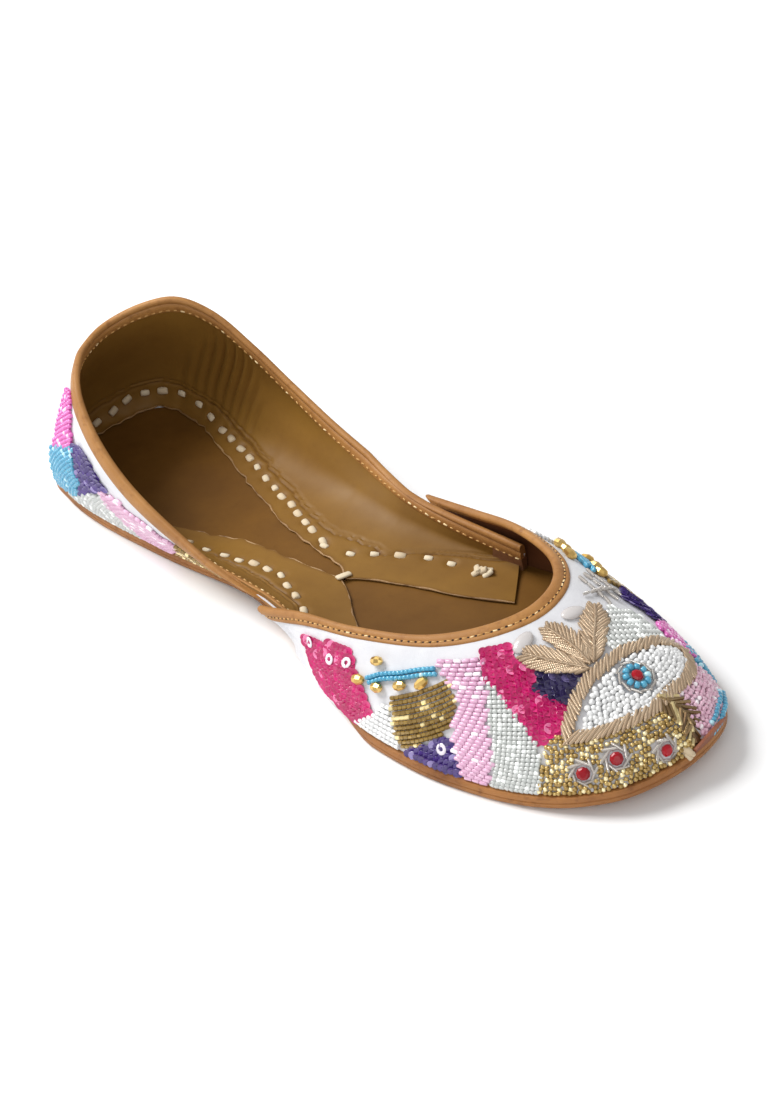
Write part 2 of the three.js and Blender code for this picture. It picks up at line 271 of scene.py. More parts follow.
def below_edge(face, u, distance):
    """v at a distance below the top edge of a face."""
    steps = np.linspace(1, 0, 101)
    line = face(np.asarray(u, float)[..., None], steps)
    run = np.cumsum(np.linalg.norm(np.diff(line, axis=-2), axis=-1), axis=-1)
    return np.array([np.interp(distance, np.concatenate([[0], row]), steps) for row in run])


def placed(points):
    """Millimetres of the last, with the toe's swing, as metres of the frame."""
    points = np.array(points, float)
    share = np.maximum((points[..., 0] - SWING_FROM) / (LENGTH - SWING_FROM), 0)
    points[..., 1] += TOE_SWING * share ** 2
    return (points + HEEL_PLACE) / 1000


print(f"the vamp starts at {VAMP_START:.3f} of the feather line")

# %% [markdown]
# ## Camera, floor and light
# The shoe stands on white paper, seen from above its toe with a long lens. The camera stands on
# the right, in front of the toe, and is rolled a little. A large soft light
# from behind the heel leaves the heel's inside dark and puts a pale shadow in front of the toe.

# %% Camera
LENS = 96.0
ROLL = radians(-7.1)
CAMERA_AT = (667.0, -414.0, 514.0)
AIMED_AT = (136.5, 4.0, 18.0)


def in_frame(point):
    return Vector((np.array(point, float) + HEEL_PLACE) / 1000)


camera_data = bpy.data.cameras.new("camera")
camera_data.lens = LENS
camera_data.sensor_width = 36
camera = bpy.data.objects.new("camera", camera_data)
bpy.context.scene.collection.objects.link(camera)
look = (in_frame(AIMED_AT) - in_frame(CAMERA_AT)).to_track_quat("-Z", "Y")
camera.matrix_world = (Matrix.Translation(in_frame(CAMERA_AT)) @ look.to_matrix().to_4x4()
                       @ Matrix.Rotation(ROLL, 4, "Z"))
bpy.context.scene.camera = camera
print("camera", round((in_frame(AIMED_AT) - in_frame(CAMERA_AT)).length, 3), "m away")

# %% Floor and lights
FLOOR_SIDE = 6.0
PAPER_WHITE = 0.9
SKY_STRENGTH = 0.5
# place, side of the lamp, watts
KEY_LIGHT = ((-0.75, -0.35, 1.0), 0.7, 19)
FILL_LIGHT = ((0.9, -1.0, 0.8), 1.2, 7)


def area_light(name, place, side, power):
    """A soft square lamp at a place, turned to the shoe."""
    data = bpy.data.lights.new(name, "AREA")
    data.shape = "SQUARE"
    data.size = side
    data.energy = power
    lamp = bpy.data.objects.new(name, data)
    bpy.context.scene.collection.objects.link(lamp)
    turn = (-Vector(place)).to_track_quat("-Z", "Y")
    lamp.matrix_world = Matrix.Translation(Vector(place)) @ turn.to_matrix().to_4x4()


floor_mesh = bpy.data.meshes.new("floor")
half = FLOOR_SIDE / 2
corners = [(-half, -half, 0), (half, -half, 0), (half, half, 0), (-half, half, 0)]
floor_mesh.from_pydata(corners, [], [(0, 1, 2, 3)])
floor = bpy.data.objects.new("floor", floor_mesh)
bpy.context.scene.collection.objects.link(floor)
floor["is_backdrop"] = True
paper = bpy.data.materials.new("white_paper")
paper.use_nodes = True
paper_inputs = paper.node_tree.nodes["Principled BSDF"].inputs
paper_inputs["Base Color"].default_value = (PAPER_WHITE, PAPER_WHITE, PAPER_WHITE, 1)
paper_inputs["Roughness"].default_value = 0.8
floor_mesh.materials.append(paper)

world = bpy.data.worlds.new("studio")
world.use_nodes = True
sky_inputs = world.node_tree.nodes["Background"].inputs
sky_inputs["Color"].default_value = (1, 1, 1, 1)
sky_inputs["Strength"].default_value = SKY_STRENGTH
bpy.context.scene.world = world
bpy.context.scene.view_settings.view_transform = "Standard"
area_light("key", *KEY_LIGHT)
area_light("fill", *FILL_LIGHT)
print("stage is set")

# %% [markdown]
# ## Shared effects: grain and weave
# Vegetable-tanned leather has cloudy colour, fine pores and worn specks, and the lining also has
# painted shade in its heel folds, stitch dimples and pressed lines and along its trimmed edge. Satin
# shows fine crossing threads and soft clouds where they swell. Each effect is one node group with its
# own inputs, so that every leather here uses the same recipe with its own values.


# %% Node helpers
def new_group(name, inputs, outputs):
    """Empty shader group with named inputs (kind, default) and outputs (kind)."""
    group = bpy.data.node_groups.new(name, "ShaderNodeTree")
    for label, (kind, default) in inputs.items():
        socket = group.interface.new_socket(label, in_out="INPUT", socket_type="NodeSocket" + kind)
        socket.default_value = default
    for label, kind in outputs.items():
        group.interface.new_socket(label, in_out="OUTPUT", socket_type="NodeSocket" + kind)
    return group, group.nodes.new("NodeGroupInput").outputs, group.nodes.new("NodeGroupOutput").inputs


def add(tree, kind, values=None, **settings):
    """New node with its settings; values sets inputs by name or place, a socket makes a link."""
    node = tree.nodes.new(kind)
    for key, value in settings.items():
        setattr(node, key, value)
    for key, value in (values or {}).items():
        if isinstance(value, bpy.types.NodeSocket):
            tree.links.new(value, node.inputs[key])
        else:
            node.inputs[key].default_value = value
    return node


def math_node(tree, operation, *values):
    return add(tree, "ShaderNodeMath", dict(enumerate(values)), operation=operation).outputs[0]


def mix_colour(tree, factor, a, b):
    return add(tree, "ShaderNodeMix", {0: factor, 6: a, 7: b}, data_type="RGBA").outputs[2]


def ranged(tree, value, low, high, to_low=0.0, to_high=1.0):
    values = {0: value, 1: low, 2: high, 3: to_low, 4: to_high}
    return add(tree, "ShaderNodeMapRange", values).outputs[0]


def object_place(tree):
    return add(tree, "ShaderNodeTexCoord").outputs["Object"]


def map_place(tree):
    """The two directions of the texture map."""
    coordinates = add(tree, "ShaderNodeTexCoord").outputs["UV"]
    return add(tree, "ShaderNodeSeparateXYZ", {0: coordinates}).outputs


def noise(tree, scale, detail, roughness=0.5):
    values = {"Vector": object_place(tree), "Scale": scale, "Detail": detail, "Roughness": roughness}
    return add(tree, "ShaderNodeTexNoise", values).outputs[0]


def attribute(tree, name):
    return add(tree, "ShaderNodeAttribute", attribute_name=name).outputs["Fac"]


def colour_input(*rgb):
    return ("Color", (*rgb, 1))


FINISH_OUTPUTS = {"Colour": "Color", "Roughness": "Float", "Height": "Float"}


# %% Leather grain
def leather_group():
    group, given, out = new_group(
        "leather grain",
        {"Colour": colour_input(0.4, 0.2, 0.05), "Dark": colour_input(0.1, 0.04, 0.01),
         "Cloud": ("Float", 0.5), "Pores": ("Float", 0.5), "Wear": ("Float", 0.3)}, FINISH_OUTPUTS)
    cloud = noise(group, 34.0, 4.0, 0.6)
    fibre = noise(group, 420.0, 3.0)
    cell_values = {"Vector": object_place(group), "Scale": 1500.0}
    cells = add(group, "ShaderNodeTexVoronoi", cell_values, feature="DISTANCE_TO_EDGE").outputs[0]
    pores = ranged(group, cells, 0.0, 0.12)
    dark = math_node(group, "MULTIPLY", ranged(group, cloud, 0.35, 0.7), given["Cloud"])
    # Painted shade in the lining's heel folds, stitch dimples and pressed lines and along its trimmed edge,
    # read from an attribute of the piece.
    dark = math_node(group, "MAXIMUM", dark, attribute(group, "painted_shade"))
    body = mix_colour(group, dark, given["Colour"], given["Dark"])
    speck = math_node(group, "MULTIPLY", ranged(group, fibre, 0.55, 0.75), given["Wear"])
    group.links.new(mix_colour(group, speck, body, given["Dark"]), out["Colour"])
    group.links.new(ranged(group, cloud, 0.2, 0.8, 0.42, 0.62), out["Roughness"])
    grain = math_node(group, "MULTIPLY", pores, given["Pores"])
    fine = math_node(group, "MULTIPLY", fibre, 0.6)
    group.links.new(math_node(group, "ADD", grain, fine), out["Height"])
    return group


LEATHER = leather_group()


def finish_of(name, group, values, roughness=None, metallic=0.0, bump=0.3, distance=0.0001, **shader):
    """Material whose look comes from a group with Colour, Roughness and Height outputs."""
    material = bpy.data.materials.new(name)
    material.use_nodes = True
    tree = material.node_tree
    principled = tree.nodes["Principled BSDF"]
    effect = add(tree, "ShaderNodeGroup", node_tree=group)
    for label, value in values.items():
        effect.inputs[label].default_value = value
    tree.links.new(effect.outputs["Colour"], principled.inputs["Base Color"])
    if roughness is None:
        tree.links.new(effect.outputs["Roughness"], principled.inputs["Roughness"])
    else:
        principled.inputs["Roughness"].default_value = roughness
    relief_values = {"Strength": bump, "Distance": distance, "Height": effect.outputs["Height"]}
    relief = add(tree, "ShaderNodeBump", relief_values)
    tree.links.new(relief.outputs[0], principled.inputs["Normal"])
    principled.inputs["Metallic"].default_value = metallic
    for label, value in shader.items():
        principled.inputs[label.replace("_", " ")].default_value = value
    return material


# colour, darker colour (also the colour of painted shade), then cloud, pores, wear, bump and specular level
LEATHERS = {
    "binding": ((0.43, 0.205, 0.058), (0.22, 0.082, 0.018), 0.6, 0.5, 0.6, 0.6, 0.35),
    "wing": ((0.26, 0.115, 0.055), (0.14, 0.055, 0.025), 0.5, 0.5, 0.5, 0.4, 0.5),
    "sole": ((0.40, 0.17, 0.048), (0.15, 0.05, 0.014), 0.75, 0.5, 0.7, 0.7, 0.3),
    "lining": ((0.235, 0.118, 0.021), (0.125, 0.052, 0.008), 0.5, 0.3, 0.12, 0.2, 0.25),
    "sock": ((0.165, 0.074, 0.013), (0.085, 0.033, 0.005), 0.6, 0.3, 0.15, 0.2, 0.2),
    "lip": ((0.27, 0.08, 0.03), (0.09, 0.022, 0.01), 0.7, 0.5, 0.6, 0.6, 0.5),
    "vamp_lining": ((0.16, 0.055, 0.02), (0.07, 0.02, 0.008), 0.6, 0.5, 0.2, 0.3, 0.5),
    "raw": ((0.40, 0.235, 0.10), (0.13, 0.055, 0.015), 0.8, 0.5, 0.9, 0.8, 0.5)}


def leather(name, colour, dark, cloud, pores, wear, bump, specular):
    values = {"Colour": (*colour, 1), "Dark": (*dark, 1), "Cloud": cloud, "Pores": pores, "Wear": wear}
    return finish_of(name + "_leather", LEATHER, values, bump=bump, Specular_IOR_Level=specular)


leathers = {name: leather(name, *row) for name, row in LEATHERS.items()}
print("leathers:", list(leathers))


# %% Satin weave
def satin_group():
    group, given, out = new_group(
        "satin weave",
        {"Colour": colour_input(0.8, 0.8, 0.8), "Shade": colour_input(0.6, 0.6, 0.62),
         "Threads per mm": ("Float", 5.0), "Slubs": ("Float", 0.3)}, FINISH_OUTPUTS)
    across = map_place(group)
    turns = math_node(group, "MULTIPLY", given["Threads per mm"], 2000 * pi)
    warp = math_node(group, "SINE", math_node(group, "MULTIPLY", across[0], turns))
    weft = math_node(group, "SINE", math_node(group, "MULTIPLY", across[1], turns))
    cloth = math_node(group, "MULTIPLY", warp, weft)
    slub = noise(group, 160.0, 3.0)
    slubs = math_node(group, "MULTIPLY", ranged(group, slub, 0.35, 0.75), given["Slubs"])
    group.links.new(mix_colour(group, slubs, given["Colour"], given["Shade"]), out["Colour"])
    group.links.new(ranged(group, slub, 0.2, 0.8, 0.45, 0.6), out["Roughness"])
    group.links.new(math_node(group, "ADD", math_node(group, "MULTIPLY", cloth, 0.5), slub), out["Height"])
    return group


satin_values = {"Colour": (0.74, 0.74, 0.76, 1), "Shade": (0.57, 0.57, 0.62, 1), "Threads per mm": 3.2,
                "Slubs": 0.5}
satin = finish_of("white_satin", satin_group(), satin_values, bump=0.5, Sheen_Weight=0.25)
print("cloth:", satin.name)

# %% [markdown]
# ## Skins through sections
# Every strip and wall of the shoe is a closed section that travels along a path, as a shoemaker's
# strip is cut and folded round an edge. One builder makes them all: it takes the sections as
# points, closes both ends, and lays a texture map in metres along and around the strip.


# %% Skin builder
import bmesh

BODY = "root"


def ridden(obj, slot, *nodes):
    """The piece moves with the shoe, and may stand for CAD nodes."""
    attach(obj, BODY)
    if nodes:
        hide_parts(*nodes)
    return obj


def mesh_from(bm, name, sharp):
    """Mesh with its faces outward, smooth but for edges over an angle; sharp None keeps all facets."""
    bmesh.ops.recalc_face_normals(bm, faces=bm.faces)
    mesh = bpy.data.meshes.new(name)
    bm.to_mesh(mesh)
    bm.free()
    mesh.polygons.foreach_set("use_smooth", [sharp is not None] * len(mesh.polygons))
    if sharp is not None:
        mesh.set_sharp_from_angle(angle=radians(sharp))
    return mesh


def skin(name, sections, material, sharp=40, slot="satin", replaced=(), painted_shade=None):
    """Closed mesh through sections (n, k, 3) in millimetres of the last; an (n, k) grid of painted shade
    darkens it.
    """
    n, k = sections.shape[:2]
    wrapped = np.concatenate([sections, sections[:, :1]], axis=1)
    around = np.zeros((n, k + 1))
    around[:, 1:] = np.cumsum(np.linalg.norm(np.diff(wrapped, axis=1), axis=2), axis=1)
    along = np.zeros(n)
    along[1:] = np.cumsum(np.linalg.norm(np.diff(sections, axis=0), axis=2).max(axis=1))
    bm = bmesh.new()
    # Painted shade at each point, for the leather group; zero where none is given.
    shade = bm.verts.layers.float.new("painted_shade")
    verts = [[bm.verts.new(p) for p in row] for row in placed(sections)]
    if painted_shade is not None:
        for vert, value in zip((v for row in verts for v in row), painted_shade.ravel()):
            vert[shade] = value
    layer = bm.loops.layers.uv.new("UVMap")
    for i in range(n - 1):
        for j in range(k):
            nxt = (j + 1) % k
            face = bm.faces.new((verts[i][j], verts[i + 1][j], verts[i + 1][nxt], verts[i][nxt]))
            corners = ((i, j), (i + 1, j), (i + 1, j + 1), (i, j + 1))
            for loop, (a, b) in zip(face.loops, corners):
                loop[layer].uv = (along[a] / 1000, around[a, b] / 1000)
    bm.faces.new(verts[0])
    bm.faces.new(verts[-1][::-1])
    bmesh.ops.remove_doubles(bm, verts=bm.verts, dist=2e-6)
    mesh = mesh_from(bm, name, sharp)
    mesh.materials.append(material)
    obj = bpy.data.objects.new(name, mesh)
    bpy.context.scene.collection.objects.link(obj)
    return ridden(obj, slot, *replaced)


# %% [markdown]
# ## Outsole
# The outsole is one flat piece of sole leather, 4 mm thick, with a cut edge that is rubbed round.
# An outline could be extruded, but its edge would be dead sharp. So the same outline is drawn in by
# a little more or less at each height, which gives the round edge and the line between its layers.

# %% Outsole
# height from the underside, how far the edge stands in
SOLE_EDGE = [(0, 1.3), (0.2, 0.5), (0.8, 0.1), (1.7, 0.0), (2.0, 0.28), (2.25, 0.03), (3.3, 0.0),
             (3.8, 0.25), (4.0, 0.9), (4.0, 3.0)]
# x, how far the sole hides under the upper
SOLE_DRAWN_IN = [(0, 0.4), (70, 0.5), (100, 1.2), (130, 2.4), (155, 2.4), (178, 0.0)]
SOLE_STATIONS = 150
CUT_STEPS, CUT_PITCH, CUT_DEPTH = 260, 1.4, 0.12

rng = np.random.default_rng(4)
hand_cut = np.convolve(rng.normal(0, 1, CUT_STEPS), np.hanning(9) / 4.5, "same")
stations = (1 - np.cos(np.linspace(0, pi, SOLE_STATIONS))) / 4
sides = []
for height, inset in SOLE_EDGE:
    ring = outline_path(lambda x: inset + read_table(SOLE_DRAWN_IN, x))
    half_turn = ring.at(stations)
    cut = np.interp(stations * ring.length, np.arange(CUT_STEPS) * CUT_PITCH, hand_cut)
    wobble = cut * CUT_DEPTH * np.sin(2 * pi * stations)
    half_turn[:, 1] = np.minimum(half_turn[:, 1], 0) + np.abs(wobble)
    half_turn[[0, -1], 1] = 0
    half_turn[:, 2] = sole_lift(half_turn[:, 0]) + height
    sides.append(half_turn)
sides = np.stack(sides, axis=1)
sole_sections = np.concatenate([sides, (sides * [1, -1, 1])[:, ::-1]], axis=1)
outsole = skin("leather_outsole", sole_sections, leathers["sole"], slot="sole_leather", replaced=("outsole",))
print("outsole", len(outsole.data.polygons), "faces")

# %% Lip at the toe
# Beside the toe's point the sole is not rubbed down but stands up a little outside the beads.
LIP_FROM, LIP_TO, LIP_HEIGHT = 0.5035, 0.533, 2.3
# how far it stands in, height over the underside, share of the lip's rise
LIP_EDGE = [(0.15, 3.2, 0.0), (-0.25, 3.7, 0.6), (-0.45, 3.9, 0.95), (0.1, 4.0, 1.0), (0.6, 3.95, 0.95),
            (0.75, 3.6, 0.4), (0.9, 3.3, 0.0)]
lip_share = np.linspace(LIP_FROM, LIP_TO, 24)
lip_rise = LIP_HEIGHT * np.sin(np.linspace(0.12, 0.97, 24) * pi) ** 0.7
lip_rows = []
for inset, base, flare in LIP_EDGE:
    row = outline_path(lambda x: inset + 0 * x).at(lip_share)
    row[:, 2] = sole_lift(row[:, 0]) + base + flare * lip_rise
    lip_rows.append(row)
skin("toe_lip", np.stack(lip_rows, axis=1), leathers["lip"], sharp=70, slot="sole_leather")
print("toe lip", round(float(lip_rise.max()), 1), "mm high")

# %% [markdown]
# ## Satin walls
# The upper is satin glued to a stiff cloth. Near the rear tips and along the foot the needle pulls
# it into soft troughs. These few are listed one by one, each with its own place, length and depth,
# and the wall's depth follows them.

# %% Satin of the vamp and quarter
SATIN_THICK = 0.55
# u, v, half length along u, half length along v, depth in mm (a ridge is negative)
VAMP_CREASES = [(0.03, 0.45, 0.012, 0.3, 0.45), (0.065, 0.25, 0.01, 0.25, 0.3), (0.10, 0.85, 0.03, 0.06, 0.3),
                (0.97, 0.45, 0.012, 0.3, 0.45), (0.93, 0.3, 0.01, 0.3, 0.35), (0.88, 0.85, 0.03, 0.06, 0.3),
                (0.47, 0.06, 0.008, 0.1, 0.6), (0.52, 0.07, 0.008, 0.12, 0.8), (0.57, 0.06, 0.01, 0.1, 0.5)]
QUARTER_CREASES = [(0.24, 0.4, 0.012, 0.3, 0.4), (0.29, 0.6, 0.01, 0.25, -0.3),
                   (0.71, 0.6, 0.01, 0.25, -0.3), (0.76, 0.4, 0.012, 0.3, 0.4),
                   (0.47, 0.12, 0.012, 0.12, 0.4), (0.55, 0.12, 0.012, 0.12, 0.35)]


def creased(rows, u, v):
    """Depth of listed troughs at (u, v)."""
    depth = 0 * (u + v)
    for at_u, at_v, long_u, long_v, deep in rows:
        depth = depth + deep * np.exp(-((u - at_u) / long_u) ** 2 - ((v - at_v) / long_v) ** 2)
    return depth


def wall(face, columns, top, near, far, tuck, creases, rows=26):
    """Sections of a wall between two depths, from the foot to a distance below the edge."""
    u = np.linspace(0, 1, columns)[:, None]
    v = below_edge(face, u[:, 0], top)[:, None] * np.linspace(0, 1, rows)
    sunk = tuck(u + 0 * v, v) + creased(creases, u, v)
    return two_sided(face, u, v, sunk + near, sunk + far)


def two_sided(face, u, v, near, far):
    """Closed sections between two depths under a face."""
    return np.concatenate([under(face, u, v, near), under(face, u, v, far)[:, ::-1]], axis=1)


def no_tuck(u, v):
    return 0 * (u + v)


def deep_tuck(u, v):
    """The quarter's wings stand clear inside the vamp."""
    x = quarter_face(u, v)[..., 0]
    return read_table(TUCK, x) + read_table(WING_CLEARANCE, x)


def skirted(sections, table):
    """The foot of a wall reaches down over the sole's edge, by a table of x and drop."""
    low = sections[:, [0, -1]]
    low = low - read_table(table, low[..., 0])[..., None] * UP
    return np.concatenate([low[:, :1], sections, low[:, 1:]], axis=1)


BAND_COVERS = 3.6
VAMP_SKIRT = [(133, 3.3), (156, 3.0), (174, 0.05)]
WING_CLEARANCE = [(110, 0), (125, 0.5)]
vamp_wall = wall(vamp_face, 200, BAND_COVERS, 0, SATIN_THICK, no_tuck, VAMP_CREASES)
vamp_satin = skin("satin_vamp", skirted(vamp_wall, VAMP_SKIRT), satin, replaced=("vamp",))
quarter_wall = wall(quarter_face, 240, BAND_COVERS, 0, SATIN_THICK, deep_tuck, QUARTER_CREASES)
quarter_satin = skin("satin_quarter", quarter_wall, satin, replaced=("quarter",))
for name, u_from, u_to in (("left_wing_end", 0.0, 0.03), ("right_wing_end", 0.97, 1.0)):
    u = np.linspace(u_from, u_to, 9)[:, None] + 0.0005 * np.sign(u_from - 0.5)
    v = below_edge(quarter_face, u[:, 0], 4.6)[:, None] * np.linspace(0, 1, 14)
    sunk = deep_tuck(u + 0 * v, v)
    wing_end = two_sided(quarter_face, u, v, sunk - 0.2, sunk + WALL + 0.35)
    skin(name, wing_end, leathers["wing"], slot="binding_leather")
skin("vamp_lining", wall(vamp_face, 120, 2.0, 1.0, WALL, no_tuck, [], rows=12), leathers["vamp_lining"],
     slot="sock_leather")
print("satin", len(vamp_satin.data.polygons), "+", len(quarter_satin.data.polygons), "faces")

# %% [markdown]
# ## Bindings
# A strip of soft leather is folded over each top edge and stitched through. In section it is a
# flat band outside, a round top, and a band inside. The section is given as distances below the
# edge and depths under the face, so the same few rows make the whole strip, with the furrow that
# the stitching presses into it.

# %% Binding strips
# distance below the edge, depth under the face
VAMP_BAND = [(5.1, 0.5), (5.15, 0.0), (4.9, -0.3), (4.3, -0.42), (3.7, -0.3), (3.3, -0.16), (2.9, -0.3),
             (2.2, -0.46), (1.2, -0.42), (0.4, -0.15), (0.0, 0.25), (-0.15, 0.9), (0.0, 1.45), (0.5, 1.85),
             (1.4, 1.98), (3.2, 1.95), (4.0, 1.9), (4.1, 1.3)]
QUARTER_BAND = [(5.1, 0.5), (5.15, 0.0), (4.8, -0.3), (3.6, -0.36), (2.2, -0.38), (1.0, -0.34), (0.3, -0.05),
                (0.0, 0.35), (-0.1, 0.9), (0.0, 1.4), (0.45, 1.8), (1.1, 1.92), (1.7, 1.72), (1.95, 1.6),
                (2.2, 1.9), (3.0, 2.12), (4.3, 2.12), (5.2, 1.98), (5.5, 1.8), (5.5, 1.3)]


def edge_band(face, columns, profile, sunk):
    """Sections of a strip folded over the edge of a face."""
    u = np.linspace(0, 1, columns)
    up = face(u, 1 + 0 * u) - face(u, 0.98 + 0 * u)
    up /= np.linalg.norm(up, axis=-1, keepdims=True)
    rows = []
    for drop, depth in profile:
        v = below_edge(face, u, max(drop, 0.0))
        rows.append(under(face, u, v, sunk(u, v) + depth) - min(drop, 0.0) * up)
    return np.stack(rows, axis=1)


def binding(name, node, sections):
    return skin(name, sections, leathers["binding"], sharp=60, slot="binding_leather", replaced=(node,))


vamp_band = edge_band(vamp_face, 220, VAMP_BAND, no_tuck)
vamp_binding = binding("leather_vamp_binding", "vamp_binding", vamp_band)
quarter_band = edge_band(quarter_face, 260, QUARTER_BAND, deep_tuck)
quarter_binding = binding("leather_quarter_binding", "quarter_binding", quarter_band)
print("bindings", len(vamp_binding.data.polygons), "+", len(quarter_binding.data.polygons), "faces")

# %% [markdown]
# ## Leather lining and footbed
# One piece of leather lines the quarter. It comes down the wall, turns in over the footbed, and is
# trimmed roughly round a teardrop at the heel and round a blunt V at the forepart, where the bare
# sock shows. The skin follows the wall first and then one cubic curve to the trimmed edge.

# %% Trimmed edge of the lining
# From the left wing round the heel to the right wing, (x, y)
FAR_V = [(170, 23), (153.6, 14), (143.5, 9.8), (134, 5), (130, 2.8), (126, -0.2), (123, -2.4)]
FAR_EDGE = [(119.5, -0.6), (115, 0.4), (106, 0.6), (96.7, 2), (86.8, 3.9), (74.8, 7.4), (64.5, 10.8),
            (53.6, 14.1), (41, 17.8), (29.2, 21.6), (22.6, 22.3), (15.4, 22.5), (10.5, 21.3), (7.6, 18.4),
            (6.2, 13.3), (5.8, 6.5)]
NEAR_EDGE = [(5.6, 0), (6.2, -7), (7.8, -14), (11, -19.6), (16.5, -22.4), (29, -22), (41, -21.4), (52, -20.8),
             (61.6, -18.7), (74, -14.2), (87, -9.6), (98, -8.2), (107, -7.2), (115, -5.4), (121, -4.2)]
NEAR_V = [(125, -5), (130, -7.7), (136, -11.7), (145, -16.4), (155, -20.6), (170, -27)]
FLANGE_Z = 5.85
LEATHER_THICK = 0.6
WALL_SHARE = 0.36

flat_edge = np.array(FAR_V + FAR_EDGE + NEAR_EDGE + NEAR_V, float)
trim = through(np.column_stack([flat_edge, 0 * flat_edge[:, 0]]), steps=12)
foot_u = np.linspace(0, 1, 401)
foot_x = quarter_face(foot_u, 0)[:, 0]
middle_share = trim.share[np.argmin(trim.points[:, 0] + 0.5 * abs(trim.points[:, 1]))]

# x of the wall's foot and x of the trimmed edge that belongs to it
FOOT_TO_EDGE = [(150, 158), (140, 143), (121, 121), (100, 100), (80, 80), (60, 60), (40, 40)]


def read_sorted(x, places, values):
    order = np.argsort(places)
    return np.interp(x, places[order], values[order])


keys = [(0.0, 0.0), (0.5, middle_share), (1.0, 1.0)]
for half, foot in ((trim.share < middle_share, slice(0, 201)), (trim.share > middle_share, slice(200, 401))):
    for wall_x, edge_x in FOOT_TO_EDGE:
        keys.append((read_sorted(wall_x, foot_x[foot], foot_u[foot]),
                     read_sorted(edge_x, trim.points[half, 0], trim.share[half])))
print("trimmed edge", round(trim.length), "mm long")


# %% Lining of the quarter
LINING_CREASES = [(0.30, 0.6, 0.05, 0.2, -0.5), (0.22, 0.5, 0.03, 0.3, 0.4), (0.7, 0.6, 0.05, 0.2, -0.4)]
# folds that rise from the stitches at the heel: u, height over the stitches, depth in mm
HEEL_FOLDS = [(0.322, 12, 0.35), (0.335, 19, 0.5), (0.347, 26, 0.6), (0.358, 30, 0.7), (0.369, 33, 0.7),
              (0.381, 31, 0.7), (0.392, 28, 0.6), (0.404, 22, 0.5), (0.417, 14, 0.4)]
FOLD_WIDTH = 0.0034
LINING_COLUMNS, WALL_ROWS, TURN_ROWS = 520, 16, 44

# stitches of the sole, seen inside, (x, y)
FAR_STITCHES = [(141.2, 22.2), (134, 19.6), (127.4, 15.2), (121.4, 10.5), (115.8, 6.3), (107, 3.4),
                (104.6, 4.4), (98.6, 6.2), (93.7, 7.8), (88, 9.6), (83.2, 11.1), (77.3, 12.6), (72, 14),
                (66, 15.8), (59.4, 17.7), (53.5, 19.4), (47.6, 21.1), (41.3, 22.6), (35.5, 23.8),
                (28, 25.4), (21.5, 26.6), (14.5, 26), (8.6, 22.3), (5.2, 17.4), (3.6, 11.6), (2.9, 6.3),
                (2.8, 0)]
NEAR_STITCHES = [(3.4, -6), (4.8, -12), (7.2, -17.6), (11, -22.4), (17, -25.6), (24, -26.2), (31, -26),
                 (38, -25.8), (45, -25.4), (52, -24.8), (59, -23.6), (66, -22), (73.5, -21), (81, -20.3),
                 (88, -18.6), (93, -17.5), (98, -15.9), (103.5, -15.2), (108.6, -14.7), (114, -16.8),
                 (119.2, -18.3), (126, -21), (133, -24)]

TRIM_STEPS = 140

u_lining = np.linspace(0.004, 0.996, LINING_COLUMNS)
ragged = np.interp(np.linspace(0, 1, LINING_COLUMNS), np.linspace(0, 1, TRIM_STEPS),
                   rng.normal(0, 0.28, TRIM_STEPS))
edge_line = trim.at(np.interp(u_lining, *np.array(sorted(keys)).T))
inward = np.cross(np.gradient(edge_line, axis=0), UP)
inward /= np.linalg.norm(inward, axis=1, keepdims=True)
raggedness = read_table([(60, 1.0), (110, 1.0), (128, 0.25)], edge_line[:, 0])
raggedness = raggedness + 1.2 * np.exp(-((u_lining - 0.5) / 0.08) ** 2)
edge_line = edge_line + inward * (ragged * raggedness)[:, None]
edge_line[:, 2] = sole_lift(edge_line[:, 0]) + FLANGE_Z


def lining_sections():
    """Visible side of the lining, from under the binding to its trimmed edge."""
    top = below_edge(quarter_face, u_lining, 2.6)
    v = top[:, None] + (WALL_SHARE - top)[:, None] * np.linspace(0, 1, WALL_ROWS)
    u = u_lining[:, None]
    wall_side = under(quarter_face, u, v, deep_tuck(u + 0 * v, v) + WALL + creased(LINING_CREASES, u, v))
    start, last = wall_side[:, -1], wall_side[:, -2]
    down = (start - last) / np.linalg.norm(start - last, axis=1, keepdims=True)
    height = (start[:, 2] - edge_line[:, 2])[:, None]
    level = (start - edge_line) * [1, 1, 0]
    t = np.linspace(0, 1, TURN_ROWS + 1)[1:, None, None]
    turn = cubic(start, start + 0.85 * height * down, edge_line + 0.62 * level, edge_line, t)
    return np.concatenate([wall_side, turn.transpose(1, 0, 2)], axis=1)


def off_surface(grid):
    """Unit normals of a grid of points, (n, k, 3)."""
    normal = np.cross(np.gradient(grid, axis=0), np.gradient(grid, axis=1))
    return normal / np.maximum(np.linalg.norm(normal, axis=2, keepdims=True), 1e-9)


lining = lining_sections()
from_edge = np.linalg.norm(np.diff(lining[:, ::-1], axis=1), axis=2).cumsum(axis=1)[:, ::-1]
from_edge = np.concatenate([from_edge, np.zeros((LINING_COLUMNS, 1))], axis=1)


def on_lining(x, y):
    """Nearest place of the turned-in lining to (x, y): column and row."""
    low = lining[:, WALL_ROWS:]
    apart = (low[..., 0] - x) ** 2 + (low[..., 1] - y) ** 2
    if x < 70:
        apart = apart + 1e3 * (abs(from_edge[:, WALL_ROWS:] - 4.6) > 1.0)
    i, j = np.unravel_index(np.argmin(apart), apart.shape)
    return i, j + WALL_ROWS


def bell(distance, width):
    """Bell of height 1 across a distance."""
    return np.exp(-(distance / width) ** 2)


